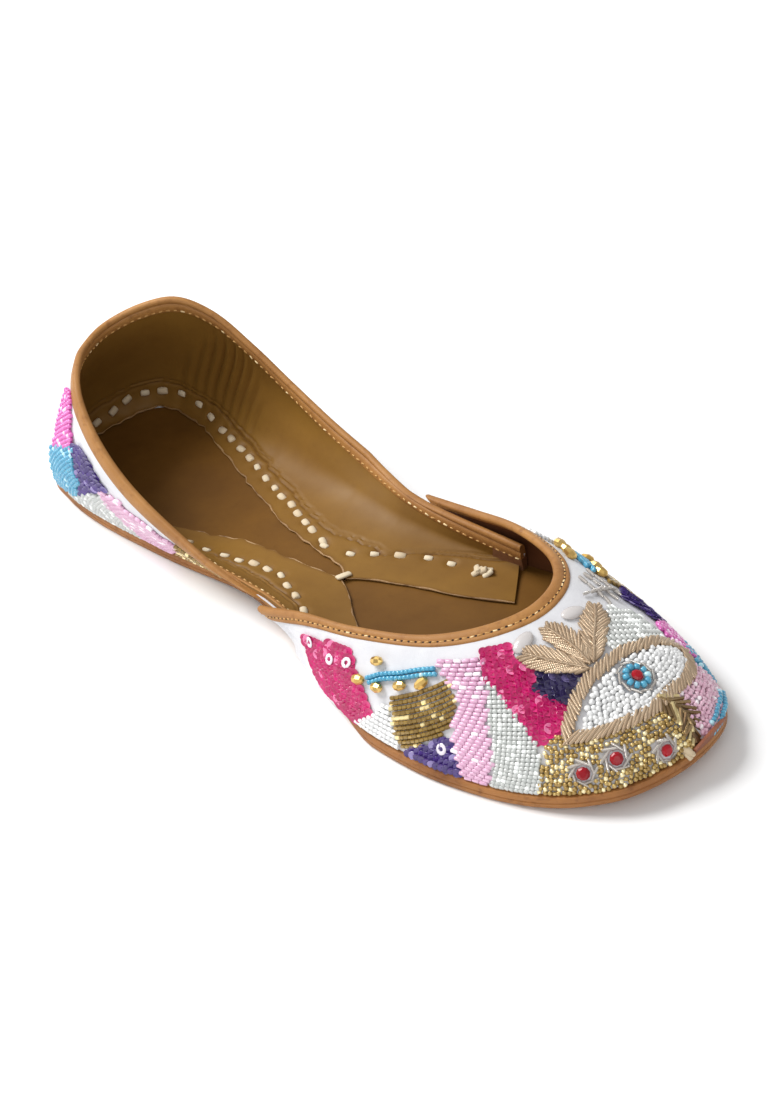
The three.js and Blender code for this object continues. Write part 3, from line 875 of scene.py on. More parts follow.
stitch_places = [on_lining(x, y) for x, y in FAR_STITCHES + NEAR_STITCHES]
row_u, row_run = np.array(sorted((u_lining[i], from_edge[i, j]) for i, j in stitch_places)).T
row_run = np.convolve(np.pad(row_run, 2, "edge"), np.ones(5) / 5, "valid")
from_row = from_edge - np.interp(u_lining, row_u, row_run)[:, None]
pressed = 0.55 * bell(from_row - 3.2, 0.45) + 0.35 * bell(from_row - 4.6, 0.4)
dimples = 0 * from_edge
for i, j in stitch_places:
    dimples += 0.8 * bell(np.linalg.norm(lining - lining[i, j], axis=2), 1.5)
folds = 0 * from_edge
for at_u, tall, deep in HEEL_FOLDS:
    off = (u_lining[:, None] - at_u) / FOLD_WIDTH
    fade = np.exp(-((from_row - 5 - tall / 2) / (tall / 2)) ** 4)
    folds += deep * fade * (bell(off, 1) - 0.7 * bell(off - 1.7, 1))
outward = off_surface(lining)
if outward[LINING_COLUMNS // 2, 2, 0] > 0:
    outward = -outward
most = read_table([(5, 0.3), (20, 0.85)], lining[..., 0])
# Painted shade: the lining is darker in its pressed lines, stitch dimples and heel folds, and in a shadow
# line along its trimmed edge.
painted_shade = np.clip(1.3 * pressed + 1.5 * dimples + 1.1 * folds + 0.6 * np.exp(-from_edge / 0.8), 0, 1)
lining = lining + outward * np.minimum(pressed + dimples + folds, most)[..., None]
hidden = lining + outward * LEATHER_THICK
quarter_lining = skin("quarter_lining", np.concatenate([lining, hidden[:, ::-1]], axis=1), leathers["lining"],
                      slot="sock_leather", painted_shade=np.concatenate([painted_shade, 0 * painted_shade], axis=1))
print("lining", len(quarter_lining.data.polygons), "faces, stitch row", row_run.round(1)[::6], "mm in")

# %% Raw edge of the trim
# A thin rough rim, where the cut shows the pale inside of the leather.
RIM_RADIUS, RIM_ROUGH, RIM_STEPS = 0.26, 0.14, 150

rim_turn = np.linspace(0, 2 * pi, 6, endpoint=False)[:, None]
drawn = rng.uniform(-1, 1, RIM_STEPS)
rough = np.interp(np.linspace(0, 1, LINING_COLUMNS), np.linspace(0, 1, RIM_STEPS), drawn)
rim_side = (inward * [1, 1, 0])[:, None]
rim_radius = (RIM_RADIUS + RIM_ROUGH * rough)[:, None, None]
rim = lining[:, -1:] - [0, 0, 0.25] + rim_radius * (np.cos(rim_turn) * rim_side + np.sin(rim_turn) * UP)
raw_edge = skin("lining_raw_edge", rim, leathers["raw"], sharp=80, slot="sock_leather")
print("raw edge", len(raw_edge.data.polygons), "faces")

# %% [markdown]
# ## Heel sock and forepart sock
# Two socks of thinner leather show inside the trimmed edge. Each is a flat slab that follows the
# sole's lift and slips under the lining, so the builder only needs its two side lines.

# %% Socks
SOCK_BOTTOM, SOCK_TOP = 4.3, 5.15
UNDER_EDGE = 1.6


def sock(name, x, left, right, node):
    """Slab between two side lines, with a slightly sagging top."""
    across = np.concatenate([np.linspace(0, 1, 13), np.linspace(1, 0, 13)])
    y = right[:, None] + (left - right)[:, None] * across
    sag = 0.25 * np.sin(pi * across) ** 0.5
    z = np.where(np.arange(26) < 13, SOCK_TOP - sag, SOCK_BOTTOM) + sole_lift(x)[:, None]
    points = np.stack([x[:, None] + 0 * y, y, z], axis=-1)
    return skin(name, points, leathers["sock"], slot="sock_leather", replaced=(node,))


def side_line(rows, x):
    rows = np.array(sorted(rows))
    return np.interp(x, rows[:, 0], rows[:, 1])


def rounded_steps(start, end, count):
    """Places from start to end that lie closer together near both."""
    return start + (end - start) * (1 - np.cos(np.linspace(0, pi, count))) / 2


heel_foot = under(quarter_face, np.linspace(0.5, 0.9, 300), 0.06, 2.0)
x_heel = rounded_steps(heel_foot[0, 0] + 0.05, 121.6, 70)
room = np.interp(x_heel, heel_foot[:, 0], -heel_foot[:, 1])
far_line = np.minimum(side_line(FAR_EDGE[:12] + [(10, 22.4), (3, 22.3)], x_heel) + UNDER_EDGE, room)
near_line = np.maximum(side_line([(3, -22)] + NEAR_EDGE[4:], x_heel) - UNDER_EDGE, -room)
heel_sock = sock("heel_sock", x_heel, far_line, near_line, "insole_heel")

inner_foot = under(vamp_face, np.linspace(0, 0.5, 200), 0.06, 2.0)
x_fore = rounded_steps(123.4, inner_foot[:, 0].max() - 1.1, 80)
room = np.interp(x_fore, inner_foot[:, 0], -inner_foot[:, 1])
far_line = np.minimum(side_line(FAR_V[2:] + [(150, 45), (250, 60)], x_fore) + UNDER_EDGE, room)
near_line = np.maximum(side_line(NEAR_V[:3] + [(150, -45), (250, -60)], x_fore) - UNDER_EDGE, -room)
forepart_sock = sock("forepart_sock", x_fore, far_line, near_line, "insole_forepart")
print("socks", [[round(1000 * d) for d in piece.dimensions] for piece in (heel_sock, forepart_sock)], "mm")

# %% [markdown]
# ## Sewing things on
# Beads, sequins, coiled wire and cotton stitches are all one action: a small shape is laid on a
# surface, turned along a thread, and sewn down. One Geometry Nodes tree does it. It takes points
# that carry three vectors (along the thread, out of the cloth, and size), puts the shape on each,
# and gives it a small seeded turn and its own tone for the material.


# %% Tree that sews shapes on
SEWING_INPUTS = {"Shape": "Object", "Turn": "Float", "Size change": "Float", "Seed": "Int",
                 "Finish": "Material"}


def sewing_tree():
    tree = bpy.data.node_groups.new("sew on", "GeometryNodeTree")
    tree.interface.new_socket("Geometry", in_out="OUTPUT", socket_type="NodeSocketGeometry")
    for label, kind in {"Geometry": "Geometry", **SEWING_INPUTS}.items():
        tree.interface.new_socket(label, in_out="INPUT", socket_type="NodeSocket" + kind)
    given = tree.nodes.new("NodeGroupInput").outputs

    def named(label):
        node = add(tree, "GeometryNodeInputNamedAttribute", {"Name": label}, data_type="FLOAT_VECTOR")
        return node.outputs[0]

    def random_vector(low, high):
        values = {0: low, 1: high, 8: given["Seed"]}
        return add(tree, "FunctionNodeRandomValue", values, data_type="FLOAT_VECTOR").outputs[0]

    def random_number(low, high):
        values = {2: low, 3: high, 8: given["Seed"]}
        return add(tree, "FunctionNodeRandomValue", values, data_type="FLOAT").outputs[1]

    shape = add(tree, "GeometryNodeObjectInfo", {"Object": given["Shape"]}).outputs["Geometry"]
    first = add(tree, "FunctionNodeAlignRotationToVector", {"Vector": named("along")}, axis="X").outputs[0]
    lying = add(tree, "FunctionNodeAlignRotationToVector", {"Rotation": first, "Vector": named("out")},
                axis="Z", pivot_axis="X").outputs[0]
    chance = random_vector(math_node(tree, "MULTIPLY", given["Turn"], -1.0), given["Turn"])
    euler = add(tree, "FunctionNodeEulerToRotation", {0: chance}).outputs[0]
    turned = add(tree, "FunctionNodeRotateRotation", {0: lying, 1: euler}, rotation_space="LOCAL").outputs[0]
    least = math_node(tree, "SUBTRACT", 1.0, given["Size change"])
    most = math_node(tree, "ADD", 1.0, given["Size change"])
    scale = {0: named("size"), 3: random_number(least, most)}
    size = add(tree, "ShaderNodeVectorMath", scale, operation="SCALE").outputs[0]
    laid = add(tree, "GeometryNodeInstanceOnPoints",
               {"Points": given["Geometry"], "Instance": shape, "Rotation": turned, "Scale": size}).outputs[0]
    toned = add(tree, "GeometryNodeStoreNamedAttribute",
                {"Geometry": laid, "Name": "tone", "Value": random_number(0.0, 1.0)},
                data_type="FLOAT", domain="INSTANCE").outputs[0]
    real = add(tree, "GeometryNodeRealizeInstances", {0: toned}).outputs[0]
    done = add(tree, "GeometryNodeSetMaterial", {"Geometry": real, "Material": given["Finish"]}).outputs[0]
    tree.links.new(done, tree.nodes.new("NodeGroupOutput").inputs[0])
    return tree


SEWING = sewing_tree()
SOCKET_OF = {item.name: item.identifier for item in SEWING.interface.items_tree if item.in_out == "INPUT"}
sewn_count = {}


def sew(name, seats, shape, finish, turn=0.08, change=0.06, seed=1, slot="satin"):
    """Plain mesh of a shape sewn on at seats: rows of point, along, out and size in millimetres."""
    at, *vectors = (np.concatenate(part) for part in zip(*seats))
    mesh = bpy.data.meshes.new(name)
    mesh.from_pydata([tuple(p) for p in placed(at)], [], [])
    for label, values in zip(("along", "out", "size"), vectors):
        layer = mesh.attributes.new(label, "FLOAT_VECTOR", "POINT")
        layer.data.foreach_set("vector", values.astype(np.float32).ravel())
    obj = bpy.data.objects.new(name, mesh)
    bpy.context.scene.collection.objects.link(obj)
    sewing = obj.modifiers.new("sew on", "NODES")
    sewing.node_group = SEWING
    for label, value in zip(SEWING_INPUTS, (shape, turn, change, seed, finish)):
        sewing[SOCKET_OF[label]] = value
    bpy.context.view_layer.update()
    plain = bpy.data.meshes.new_from_object(obj.evaluated_get(bpy.context.evaluated_depsgraph_get()))
    obj.modifiers.remove(sewing)
    obj.data = plain
    plain.name = name
    sewn_count[name] = len(at)
    return ridden(obj, slot)


# %% [markdown]
# ## Small shapes
# Each bead, sequin or stitch is a profile turned about its own thread line, with few faces because
# it is used hundreds of times. The ring sequin's profile closes on itself, so it has a hole and a
# cupped rim. The shapes themselves stay out of the scene, and only the sewn copies show.


# %% Turned shapes
FACETED, ROUNDED = None, 62


def both_ends(*rows):
    """Profile of (x, radius) rows from the end to the middle, and the same again to the other end."""
    return [(-x, radius) for x, radius in rows] + [(x, radius) for x, radius in rows[::-1] if x]


def turned_shape(name, profile, sides, sharp=ROUNDED, ring=False, flat=1.0):
    """Shape turned about X from (x, radius) rows in millimetres; a ring's profile is closed."""
    bm = bmesh.new()
    angles = np.linspace(0, 2 * pi, sides, endpoint=False)
    rows = [[bm.verts.new((x / 1000, radius * cos(angle) / 1000, flat * radius * sin(angle) / 1000))
             for angle in angles] for x, radius in profile]
    layer = bm.loops.layers.uv.new("UVMap")
    last = len(rows) - 1
    pairs = [(i, i + 1) for i in range(last)] + ([(last, 0)] if ring else [])
    for i, j in pairs:
        for k in range(sides):
            n = (k + 1) % sides
            face = bm.faces.new((rows[i][k], rows[j][k], rows[j][n], rows[i][n]))
            for loop, (row, step) in zip(face.loops, ((i, k), (j, k), (j, k + 1), (i, k + 1))):
                loop[layer].uv = (profile[row][0] / 1000, step / sides)
    if not ring:
        bm.faces.new(rows[0])
        bm.faces.new(rows[-1][::-1])
    return bpy.data.objects.new(name, mesh_from(bm, name, sharp))


tube_bead = turned_shape("tube bead", both_ends((1.12, 0.42), (0.95, 0.64)), 8)
seed_bead = turned_shape("seed bead", both_ends((0.62, 0.45), (0.4, 0.82)), 9)
cut_bead = turned_shape("cut bead", both_ends((0.95, 0.5), (0.75, 0.72)), 6, FACETED)
bugle = turned_shape("bugle", both_ends((2.5, 0.38), (2.35, 0.58)), 6, FACETED)
gold_oval = turned_shape("faceted oval", both_ends((1.8, 0.3), (1.25, 0.92), (0, 1.22)), 8, FACETED)
sequin = turned_shape("sequin", [(0.0, 0.24), (0.13, 0.3), (0.1, 0.95), (0.36, 1.42), (0.28, 1.47),
                                 (-0.02, 0.95), (-0.04, 0.28)], 12)
ring_sequin = turned_shape("ring sequin", [(0.2, 0.62), (0.34, 0.9), (0.3, 1.45), (0.12, 1.6), (0, 1.4),
                                           (0, 0.62)], 14, ring=True)
red_stone = turned_shape("red stone", [(-0.4, 1.45), (0.35, 1.75), (0.95, 1.3), (1.2, 0.8)], 9, FACETED)
coiled_wire = turned_shape("coiled wire", both_ends((3, 0.2), (2.5, 0.46), (1.2, 0.56)), 8)
cotton_stitch = turned_shape("cotton stitch", both_ends((1.4, 0.6), (1.22, 0.86), (0, 0.94)), 8, flat=0.8)
thread_dash = turned_shape("thread dash", both_ends((0.62, 0.1), (0.45, 0.24)), 6)
needle_hole = turned_shape("needle hole", both_ends((0.12, 0.2), (0.05, 0.36)), 8)
pale_drop = turned_shape("pale drop", [(-4.3, 0.3), (-3.6, 1.4), (-1.8, 2.2), (0, 2.4), (1.8, 2.1),
                                       (3.6, 1.3), (4.3, 0.3)], 14, flat=0.4)
print("shapes ready, the sequin has", len(sequin.data.polygons), "faces")

# %% [markdown]
# ## Bead finishes
# Glass, metal and foil beads differ mostly in how much each one varies and how sharply it shines.
# A single group turns the bead's own tone into a colour between two, and paints a few beads in a
# bright glint colour as a painted highlight. The shine itself stays in each material.


# %% Bead materials
def bead_group():
    group, given, out = new_group(
        "bead tone",
        {"Colour": colour_input(0.8, 0.8, 0.8), "Other": colour_input(0.5, 0.5, 0.5),
         "Painted glint": colour_input(1, 1, 1), "Painted glinting": ("Float", 0.06)}, FINISH_OUTPUTS)
    tone = attribute(group, "tone")
    body = mix_colour(group, tone, given["Colour"], given["Other"])
    cloud = noise(group, 900.0, 2.0)
    body = mix_colour(group, ranged(group, cloud, 0.45, 0.75, 0.0, 0.35), body, given["Other"])
    # Painted highlight: a share of the beads, picked by their tone, takes the bright glint colour.
    shuffled = math_node(group, "FRACT", math_node(group, "MULTIPLY", tone, 17.3))
    painted_glinting = math_node(group, "LESS_THAN", shuffled, given["Painted glinting"])
    group.links.new(mix_colour(group, painted_glinting, body, given["Painted glint"]), out["Colour"])
    group.links.new(ranged(group, tone, 0.0, 1.0, 0.18, 0.42), out["Roughness"])
    group.links.new(cloud, out["Height"])
    return group


BEAD = bead_group()


def beads(name, colour, other, painted_glint=(1, 1, 1), painted_glinting=0.05, coat=0.0, **more):
    values = {"Colour": (*colour, 1), "Other": (*other, 1), "Painted glint": (*painted_glint, 1), "Painted glinting": painted_glinting}
    return finish_of(name, BEAD, values, bump=0.15, distance=0.00005, Coat_Weight=coat, **more)


# colour, other tone, then the painted glint colour, the share of beads that shows it, and coat
magenta_foil = beads("magenta_foil", (0.72, 0.016, 0.20), (0.50, 0.006, 0.115), (0.95, 0.25, 0.5), coat=0.6)
violet_foil = beads("violet_foil", (0.10, 0.05, 0.30), (0.05, 0.022, 0.17), (0.35, 0.28, 0.6), 0.07, 0.6)
navy_foil = beads("navy_foil", (0.045, 0.032, 0.12), (0.02, 0.014, 0.06), (0.16, 0.13, 0.3), 0.06, 0.6)
white_foil = beads("white_foil", (0.85, 0.80, 0.84), (0.72, 0.66, 0.74), coat=0.8)
cyan_glass = beads("cyan_glass", (0.10, 0.42, 0.60), (0.05, 0.30, 0.48), (0.45, 0.75, 0.85), 0.06, 0.7)
pink_glass = beads("pink_glass", (0.78, 0.49, 0.65), (0.68, 0.37, 0.54), (0.95, 0.85, 0.92), 0.10, 0.8)
rose_glass = beads("rose_glass", (0.82, 0.54, 0.65), (0.72, 0.42, 0.54), (0.95, 0.86, 0.9), 0.10, 0.8)
lilac_glass = beads("lilac_glass", (0.76, 0.17, 0.52), (0.62, 0.09, 0.40), (0.95, 0.6, 0.85), 0.08, 0.8)
milk_glass = beads("milk_glass", (0.84, 0.84, 0.83), (0.72, 0.72, 0.72), (0.95, 0.95, 0.95), 0.1, 0.6)
silver_glass = beads("silver_lined_glass", (0.66, 0.67, 0.65), (0.50, 0.52, 0.50), (0.9, 0.92, 0.9), 0.14,
                     0.9)
gold_glass = beads("gold_lined_glass", (0.62, 0.44, 0.15), (0.34, 0.21, 0.05), (0.98, 0.85, 0.5), 0.18, 0.6,
                   metallic=0.45)
bronze_glass = beads("bronze_lined_glass", (0.42, 0.275, 0.075), (0.23, 0.14, 0.035), (0.95, 0.80, 0.42),
                     0.13, 0.6, metallic=0.45)
gold_metal = beads("gold_metal", (0.80, 0.55, 0.20), (0.66, 0.42, 0.12), painted_glinting=0.0, metallic=0.95)
dark_gold = beads("dark_gold_bugles", (0.42, 0.28, 0.12), (0.15, 0.085, 0.035), (0.75, 0.6, 0.3), 0.12, 0.5,
                  metallic=0.7)
red_glass = beads("red_glass", (0.42, 0.006, 0.016), (0.26, 0.003, 0.01), painted_glinting=0.0, roughness=0.12,
                  Specular_IOR_Level=0.4)
pale_glass = beads("pale_glass", (0.72, 0.68, 0.66), (0.60, 0.56, 0.55), coat=0.8, Alpha=0.8)
cotton = beads("cotton_thread", (0.72, 0.62, 0.45), (0.60, 0.48, 0.32), painted_glinting=0.0, roughness=0.85)
gold_thread = beads("gold_thread", (0.66, 0.40, 0.14), (0.48, 0.25, 0.07), (0.85, 0.65, 0.35), 0.15,
                    roughness=0.5)
# Dark colour for the needle holes: painted shade where the holes are.
hole_shade = beads("needle_hole_shade", (0.035, 0.014, 0.006), (0.02, 0.008, 0.004), painted_glinting=0.0,
                  roughness=0.9)


# %% Coiled wire
def wire_group():
    """Tone of the strand, painted shade in the grooves of its coil, and the ridges of the coil along its own
    map.
    """
    group, given, out = new_group(
        "coiled wire",
        {"Colour": colour_input(0.6, 0.5, 0.3), "Furrow shade": colour_input(0.2, 0.13, 0.06),
         "Turns per mm": ("Float", 2.6)}, FINISH_OUTPUTS)
    along, around, _ = map_place(group)
    turns = math_node(group, "MULTIPLY", given["Turns per mm"], 2000 * pi)
    angle = math_node(group, "ADD", math_node(group, "MULTIPLY", along, turns),
                      math_node(group, "MULTIPLY", around, 2 * pi))
    coil = ranged(group, math_node(group, "SINE", angle), -1.0, 1.0)
    tone = attribute(group, "tone")
    # Each strand's random tone leans toward the dark colour, and painted shade darkens the grooves between
    # the coil's turns toward it too.
    body = mix_colour(group, math_node(group, "MULTIPLY", tone, 0.45), given["Colour"], given["Furrow shade"])
    furrow_shade = ranged(group, coil, 0.0, 0.45, 0.8, 0.0)
    group.links.new(mix_colour(group, furrow_shade, body, given["Furrow shade"]), out["Colour"])
    group.links.new(ranged(group, tone, 0.0, 1.0, 0.25, 0.45), out["Roughness"])
    group.links.new(coil, out["Height"])
    return group


WIRE = wire_group()


def wire(name, colour, furrow_shade, metallic):
    values = {"Colour": (*colour, 1), "Furrow shade": (*furrow_shade, 1)}
    return finish_of(name, WIRE, values, metallic=metallic, bump=0.8, distance=0.00012)


antique_wire = wire("antique_wire", (0.72, 0.56, 0.39), (0.30, 0.19, 0.11), 0.55)
silver_wire = wire("silver_wire", (0.75, 0.72, 0.68), (0.35, 0.30, 0.26), 0.6)
print("bead finishes:", len([m for m in bpy.data.materials if m.node_tree]), "materials in all")

# %% [markdown]
# ## Laying out the beadwork
# An embroiderer draws the fields on the cloth and fills each with rows, scales or loose beads.
# The fields here are polygons in hundredths of (u, v) on a wall. Rows are spaced by true
# millimetres on the curved surface, and loose beads keep a least distance from each other.


# %% Seats on a wall
def seat(face, uv, lift):
    """Points and normals on a wall, a lift above its cloth."""
    u, v = np.asarray(uv, float).T
    if face is quarter_face:
        sunk = deep_tuck(u, v) + creased(QUARTER_CREASES, u, v)
    else:
        sunk = creased(VAMP_CREASES, u, v)
    normal = normal_of(face, u, v)
    return face(u, v) + (lift - sunk)[:, None] * normal, normal


def inside(polygon, uv):
    """True for each (u, v) inside a polygon."""
    (u0, v0), (u1, v1) = np.asarray(polygon, float).T, np.roll(polygon, -1, axis=0).T
    u, v = uv[:, 0, None], uv[:, 1, None]
    crosses = (v0 > v) != (v1 > v)
    at = u0 + (v - v0) / np.where(v1 == v0, 1e-9, v1 - v0) * (u1 - u0)
    return (crosses & (u < at)).sum(axis=1) % 2 == 1


def share(points):
    return np.asarray(points, float) / 100


def run_of(points):
    """Distance along a line of points, at each of them."""
    return np.concatenate([[0], np.cumsum(np.linalg.norm(np.diff(points, axis=0), axis=1))])


def read_columns(places, run, *grids):
    """Values of grids of points at places along their run."""
    return [np.column_stack([np.interp(places, run, column) for column in grid.T]) for grid in grids]


def seats_on(face, uv, along, lift, size=(1, 1, 1), upright=False, lean=0.0):
    """Seats for sewing: beads lie along a direction, sequins stand with their axis out of the cloth."""
    at, out = seat(face, uv, lift)
    along = along - (along * out).sum(axis=1, keepdims=True) * out
    along /= np.maximum(np.linalg.norm(along, axis=1, keepdims=True), 1e-9)
    sizes = np.tile(np.asarray(size, float), (len(at), 1))
    if upright:
        return at, out + lean * along, along, sizes
    return at, along, out, sizes


def line_on(face, uv, pitch, offset=0.5):
    """Evenly spaced (u, v) along a line on a wall, and the direction of the line at each."""
    if len(uv) > 2:
        dense = through(np.column_stack([uv, 0 * uv[:, 0]]), steps=24).points[:, :2]
    else:
        dense = uv[0] + np.linspace(0, 1, 60)[:, None] * (uv[1] - uv[0])
    at = seat(face, dense, 0)[0]
    run = run_of(at)
    wanted = (np.arange(max(int(run[-1] / pitch), 1)) + offset) * pitch
    return read_columns(wanted[wanted < run[-1]], run, dense, np.gradient(at, axis=0))


# %% Fields, scatters and lines
def box(left, right, top, bottom=0):
    """Frame of a field: rows run from left to right and follow from top to bottom."""
    return [(left, top), (right, top), (right, bottom), (left, bottom)]


def rows_in(quad, field, pitch, row_pitch, lift=0.6, size=(1, 1, 1), face=vamp_face, **more):
    """Rows of beads across a four-sided frame, laid like bricks, kept where they are in the field."""
    a, b, c, d = share(quad)
    left = seat(face, np.linspace(a, d, 20), 0)[0]
    right = seat(face, np.linspace(b, c, 20), 0)[0]
    rows = max(int((run_of(left)[-1] + run_of(right)[-1]) / 2 / row_pitch), 1)
    lines = []
    for i in range(rows):
        t = (i + 0.5) / rows
        ends = np.array([a + (d - a) * t, b + (c - b) * t])
        lines.append(line_on(face, ends, pitch, offset=0.5 + 0.5 * (i % 2)))
    uv, along = (np.concatenate(part) for part in zip(*lines))
    kept = inside(share(field), uv)
    return seats_on(face, uv[kept], along[kept], lift, size, **more)


def heel_rows(quad, field, **more):
    """The same field on the right and on the left of the quarter."""
    mirror = [[(100 - u, v) for u, v in corners] for corners in (quad, field)]
    return [rows_in(*sides, face=quarter_face, **more) for sides in ((quad, field), mirror)]


def scatter_in(polygon, spacing, lift, seed, tries=6000):
    """Loose beads in a field of the vamp, none nearer to another than the spacing."""
    random = np.random.default_rng(seed)
    polygon = share(polygon)
    uv = random.uniform(polygon.min(axis=0), polygon.max(axis=0), (tries, 2))
    uv = uv[inside(polygon, uv)]
    at = seat(vamp_face, uv, 0)[0]
    kept = []
    for i, point in enumerate(at):
        if not kept or ((at[kept] - point) ** 2).sum(axis=1).min() > spacing ** 2:
            kept.append(i)
    return seats_on(vamp_face, uv[kept], random.normal(0, 1, (len(kept), 3)), lift)


def along_line(uv, pitch, lift=0.5, size=(1, 1, 1), slant=0.0):
    """Beads one after another along a line of the vamp, turned by the slant from its direction."""
    places, ahead = line_on(vamp_face, share(uv), pitch)
    side = np.cross(seat(vamp_face, places, 0)[1], ahead)
    return seats_on(vamp_face, places, ahead * cos(slant) + side * sin(slant), lift, size)


def jittered(seats, amount, seed):
    """Seats moved by hand-sewn chance, and turned any way."""
    at, along, out, size = seats
    random = np.random.default_rng(seed)
    shift = random.uniform(-amount, amount, at.shape)
    shift -= 0.7 * (shift * out).sum(axis=1, keepdims=True) * out
    return at + shift, random.normal(0, 1, at.shape), out, size


def clear_of(seats, centres, distance):
    """Seats that stay clear of some places."""
    apart = np.linalg.norm(seats[0][:, None] - centres, axis=2).min(axis=1)
    return tuple(part[apart > distance] for part in seats)


print("layout helpers ready")

# %% [markdown]
# ## Scales of foil
# Magenta, violet and navy fields are cupped foil sequins, sewn so closely that each overlaps the
# one before, like scales. They lean along their row. White rings mark a few places.

# %% Sequin fields
SCALE = dict(pitch=1.6, row_pitch=1.8, lift=0.4, upright=True, lean=0.38)
magenta_rear = [(9, 69), (18.6, 78), (18, 52), (17.5, 22), (14, 0), (10.4, 0), (7.6, 0), (6.2, 22)]
magenta_band = [(39.7, 86), (43.7, 87), (42.4, 77.5), (43, 69), (41.6, 60), (43.4, 50), (41, 38), (38, 32.5),
                (37.7, 74.6)]
magenta_far = [(92, 0), (81, 48), (83, 14), (87, 0)]
navy_field = [(43, 69), (45, 68), (48, 65), (45.6, 57.5), (43.4, 50), (41.6, 60)]
violet_field = [(20.6, 0), (28, 31), (27.8, 0)]
violet_far = [(70.6, 52), (64, 65), (65, 42), (71, 17)]
violet_heel = [(62.6, 68), (64, 78), (68, 62.5), (65.8, 36), (63.7, 12), (64.4, 36)]
rings = share([(10.3, 66), (13.7, 58), (17.2, 63), (26.6, 19)])


def scales(name, finish, seed, fields, *more):
    """Sequins over fields of the vamp, each given by its frame and its outline."""
    sew(name, [*(rows_in(*field, **SCALE) for field in fields), *more], sequin, finish, turn=0.16, seed=seed)


magenta_fields = [(box(4, 20, 90), magenta_rear), (box(36, 44, 90, 30), magenta_band),
                  (box(80, 93, 50), magenta_far)]
violet_fields = [(box(20, 28.5, 33), violet_field), (box(63, 72, 67, 15), violet_far)]
scales("magenta_sequins", magenta_foil, 3, magenta_fields)
scales("violet_sequins", violet_foil, 4, violet_fields, *heel_rows(box(62, 70, 80, 10), violet_heel, **SCALE))
scales("navy_sequins", navy_foil, 5, [(box(41, 49, 70, 48), navy_field)])
sew("ring_sequins", [seats_on(vamp_face, rings, np.ones((4, 3)), 0.9, upright=True)], ring_sequin, white_foil,
    turn=0.2, seed=6)
print(sewn_count)

# %% [markdown]
# ## Rows of beads
# Tube beads lie end to end in rows. The pale pink and silver bands run
# across the vamp, the gold square has closer rows that rise to the toe, and the heel has its own
# small fields on both sides.

# %% Bead fields in rows
pink_band = [(33, 83), (39.4, 84.6), (36.3, 61), (34.3, 47), (30.5, 0), (27.6, 0), (28.3, 30), (32.6, 60),
             (32.2, 71)]
silver_band = [(37.7, 74.6), (38, 32.5), (35.6, 1.7), (35.4, 0), (30.5, 0), (34.3, 47), (36.3, 62)]
gold_square = [(21.7, 42.5), (24.4, 56), (32.7, 70), (32.6, 60), (30, 44), (28, 32.5), (20.6, 2.5),
               (20.7, 22)]
white_small = [(14, 0), (17.5, 22), (21.4, 42.5), (20.7, 22), (20.4, 0)]
white_far = [(89, 70), (78, 87), (81.4, 51), (92, 6)]
gold_far = [(81, 44), (69, 62.5), (74, 3), (78, 0), (83, 5)]
silver_toe = [(59, 74), (53, 70), (52, 61), (55, 58), (58, 53), (61, 42), (62, 57.5)]
lilac_far = [(71, 13), (66, 39), (62.5, 47), (61.7, 36), (61.7, 27), (64, 9)]
pink_toe = [(53.2, 31), (60, 27), (61.6, 14), (62.3, 0), (58.5, 0), (55, 0), (52.9, 0), (53, 12)]
silver_heel = [(60, 0), (62.5, 4), (67.7, 47.5), (71.8, 0)]
pink_heel = [(66.6, 52), (69.5, 66), (73.5, 62), (76, 40), (75.4, 0), (71.4, 0)]
gold_heel = [(75.4, 0), (76, 42), (77.5, 54), (82, 52), (84.5, 0)]
lilac_heel = [(59.6, 40), (57.6, 84), (60, 92), (62.7, 65)]
cyan_heel = [(59, 36), (62.6, 68), (64.4, 36), (63.5, 10), (59, 0)]

TUBES = dict(pitch=2.3, row_pitch=1.35, lift=0.55)
GOLD_ROWS = dict(pitch=1.5, row_pitch=1.32, lift=0.55, size=(0.78, 0.86, 0.86))
pink_rows = rows_in(box(26, 40, 86), pink_band, **TUBES)
pink_heel_rows = heel_rows(box(66, 80, 68), pink_heel, **TUBES)
toe_rows = rows_in(box(52, 63, 31), pink_toe, pitch=1.45, row_pitch=1.22, lift=0.45, size=(0.7, 1, 1))
lilac_rows = heel_rows(box(56, 64, 94, 38), lilac_heel, pitch=1.5, row_pitch=1.5)
wedge_rows = rows_in([(30, 75), (39, 75), (37, 0), (30, 0)], silver_band, pitch=1.36, row_pitch=1.3, lift=0.5,
                     size=(0.6, 1, 1))
silver_heel_rows = heel_rows(box(60, 73, 50), silver_heel, pitch=1.5, row_pitch=1.4, lift=0.5,
                             size=(0.62, 1, 1))
silver_toe_rows = rows_in([(62, 76), (62, 40), (52, 40), (52, 76)], silver_toe, **TUBES)
square_rows = rows_in([(20, 43), (33.5, 73), (30.5, 34), (19, -6)], gold_square, **GOLD_ROWS)
gold_far_rows = rows_in([(68, 64), (82, 64), (84, 0), (72, 0)], gold_far, **GOLD_ROWS)
gold_heel_rows = heel_rows(box(74, 86, 60), gold_heel, pitch=1.5, row_pitch=1.25, lift=0.5,
                           size=(0.74, 0.85, 0.85))
white_rows = rows_in(box(13, 22, 44), white_small, pitch=1.6, row_pitch=1.5, lift=0.45, size=(0.7, 1, 1))
white_far_rows = rows_in(box(78, 93, 88, 5), white_far, **TUBES)
lilac_far_rows = rows_in(box(61, 72, 48, 8), lilac_far, **TUBES)

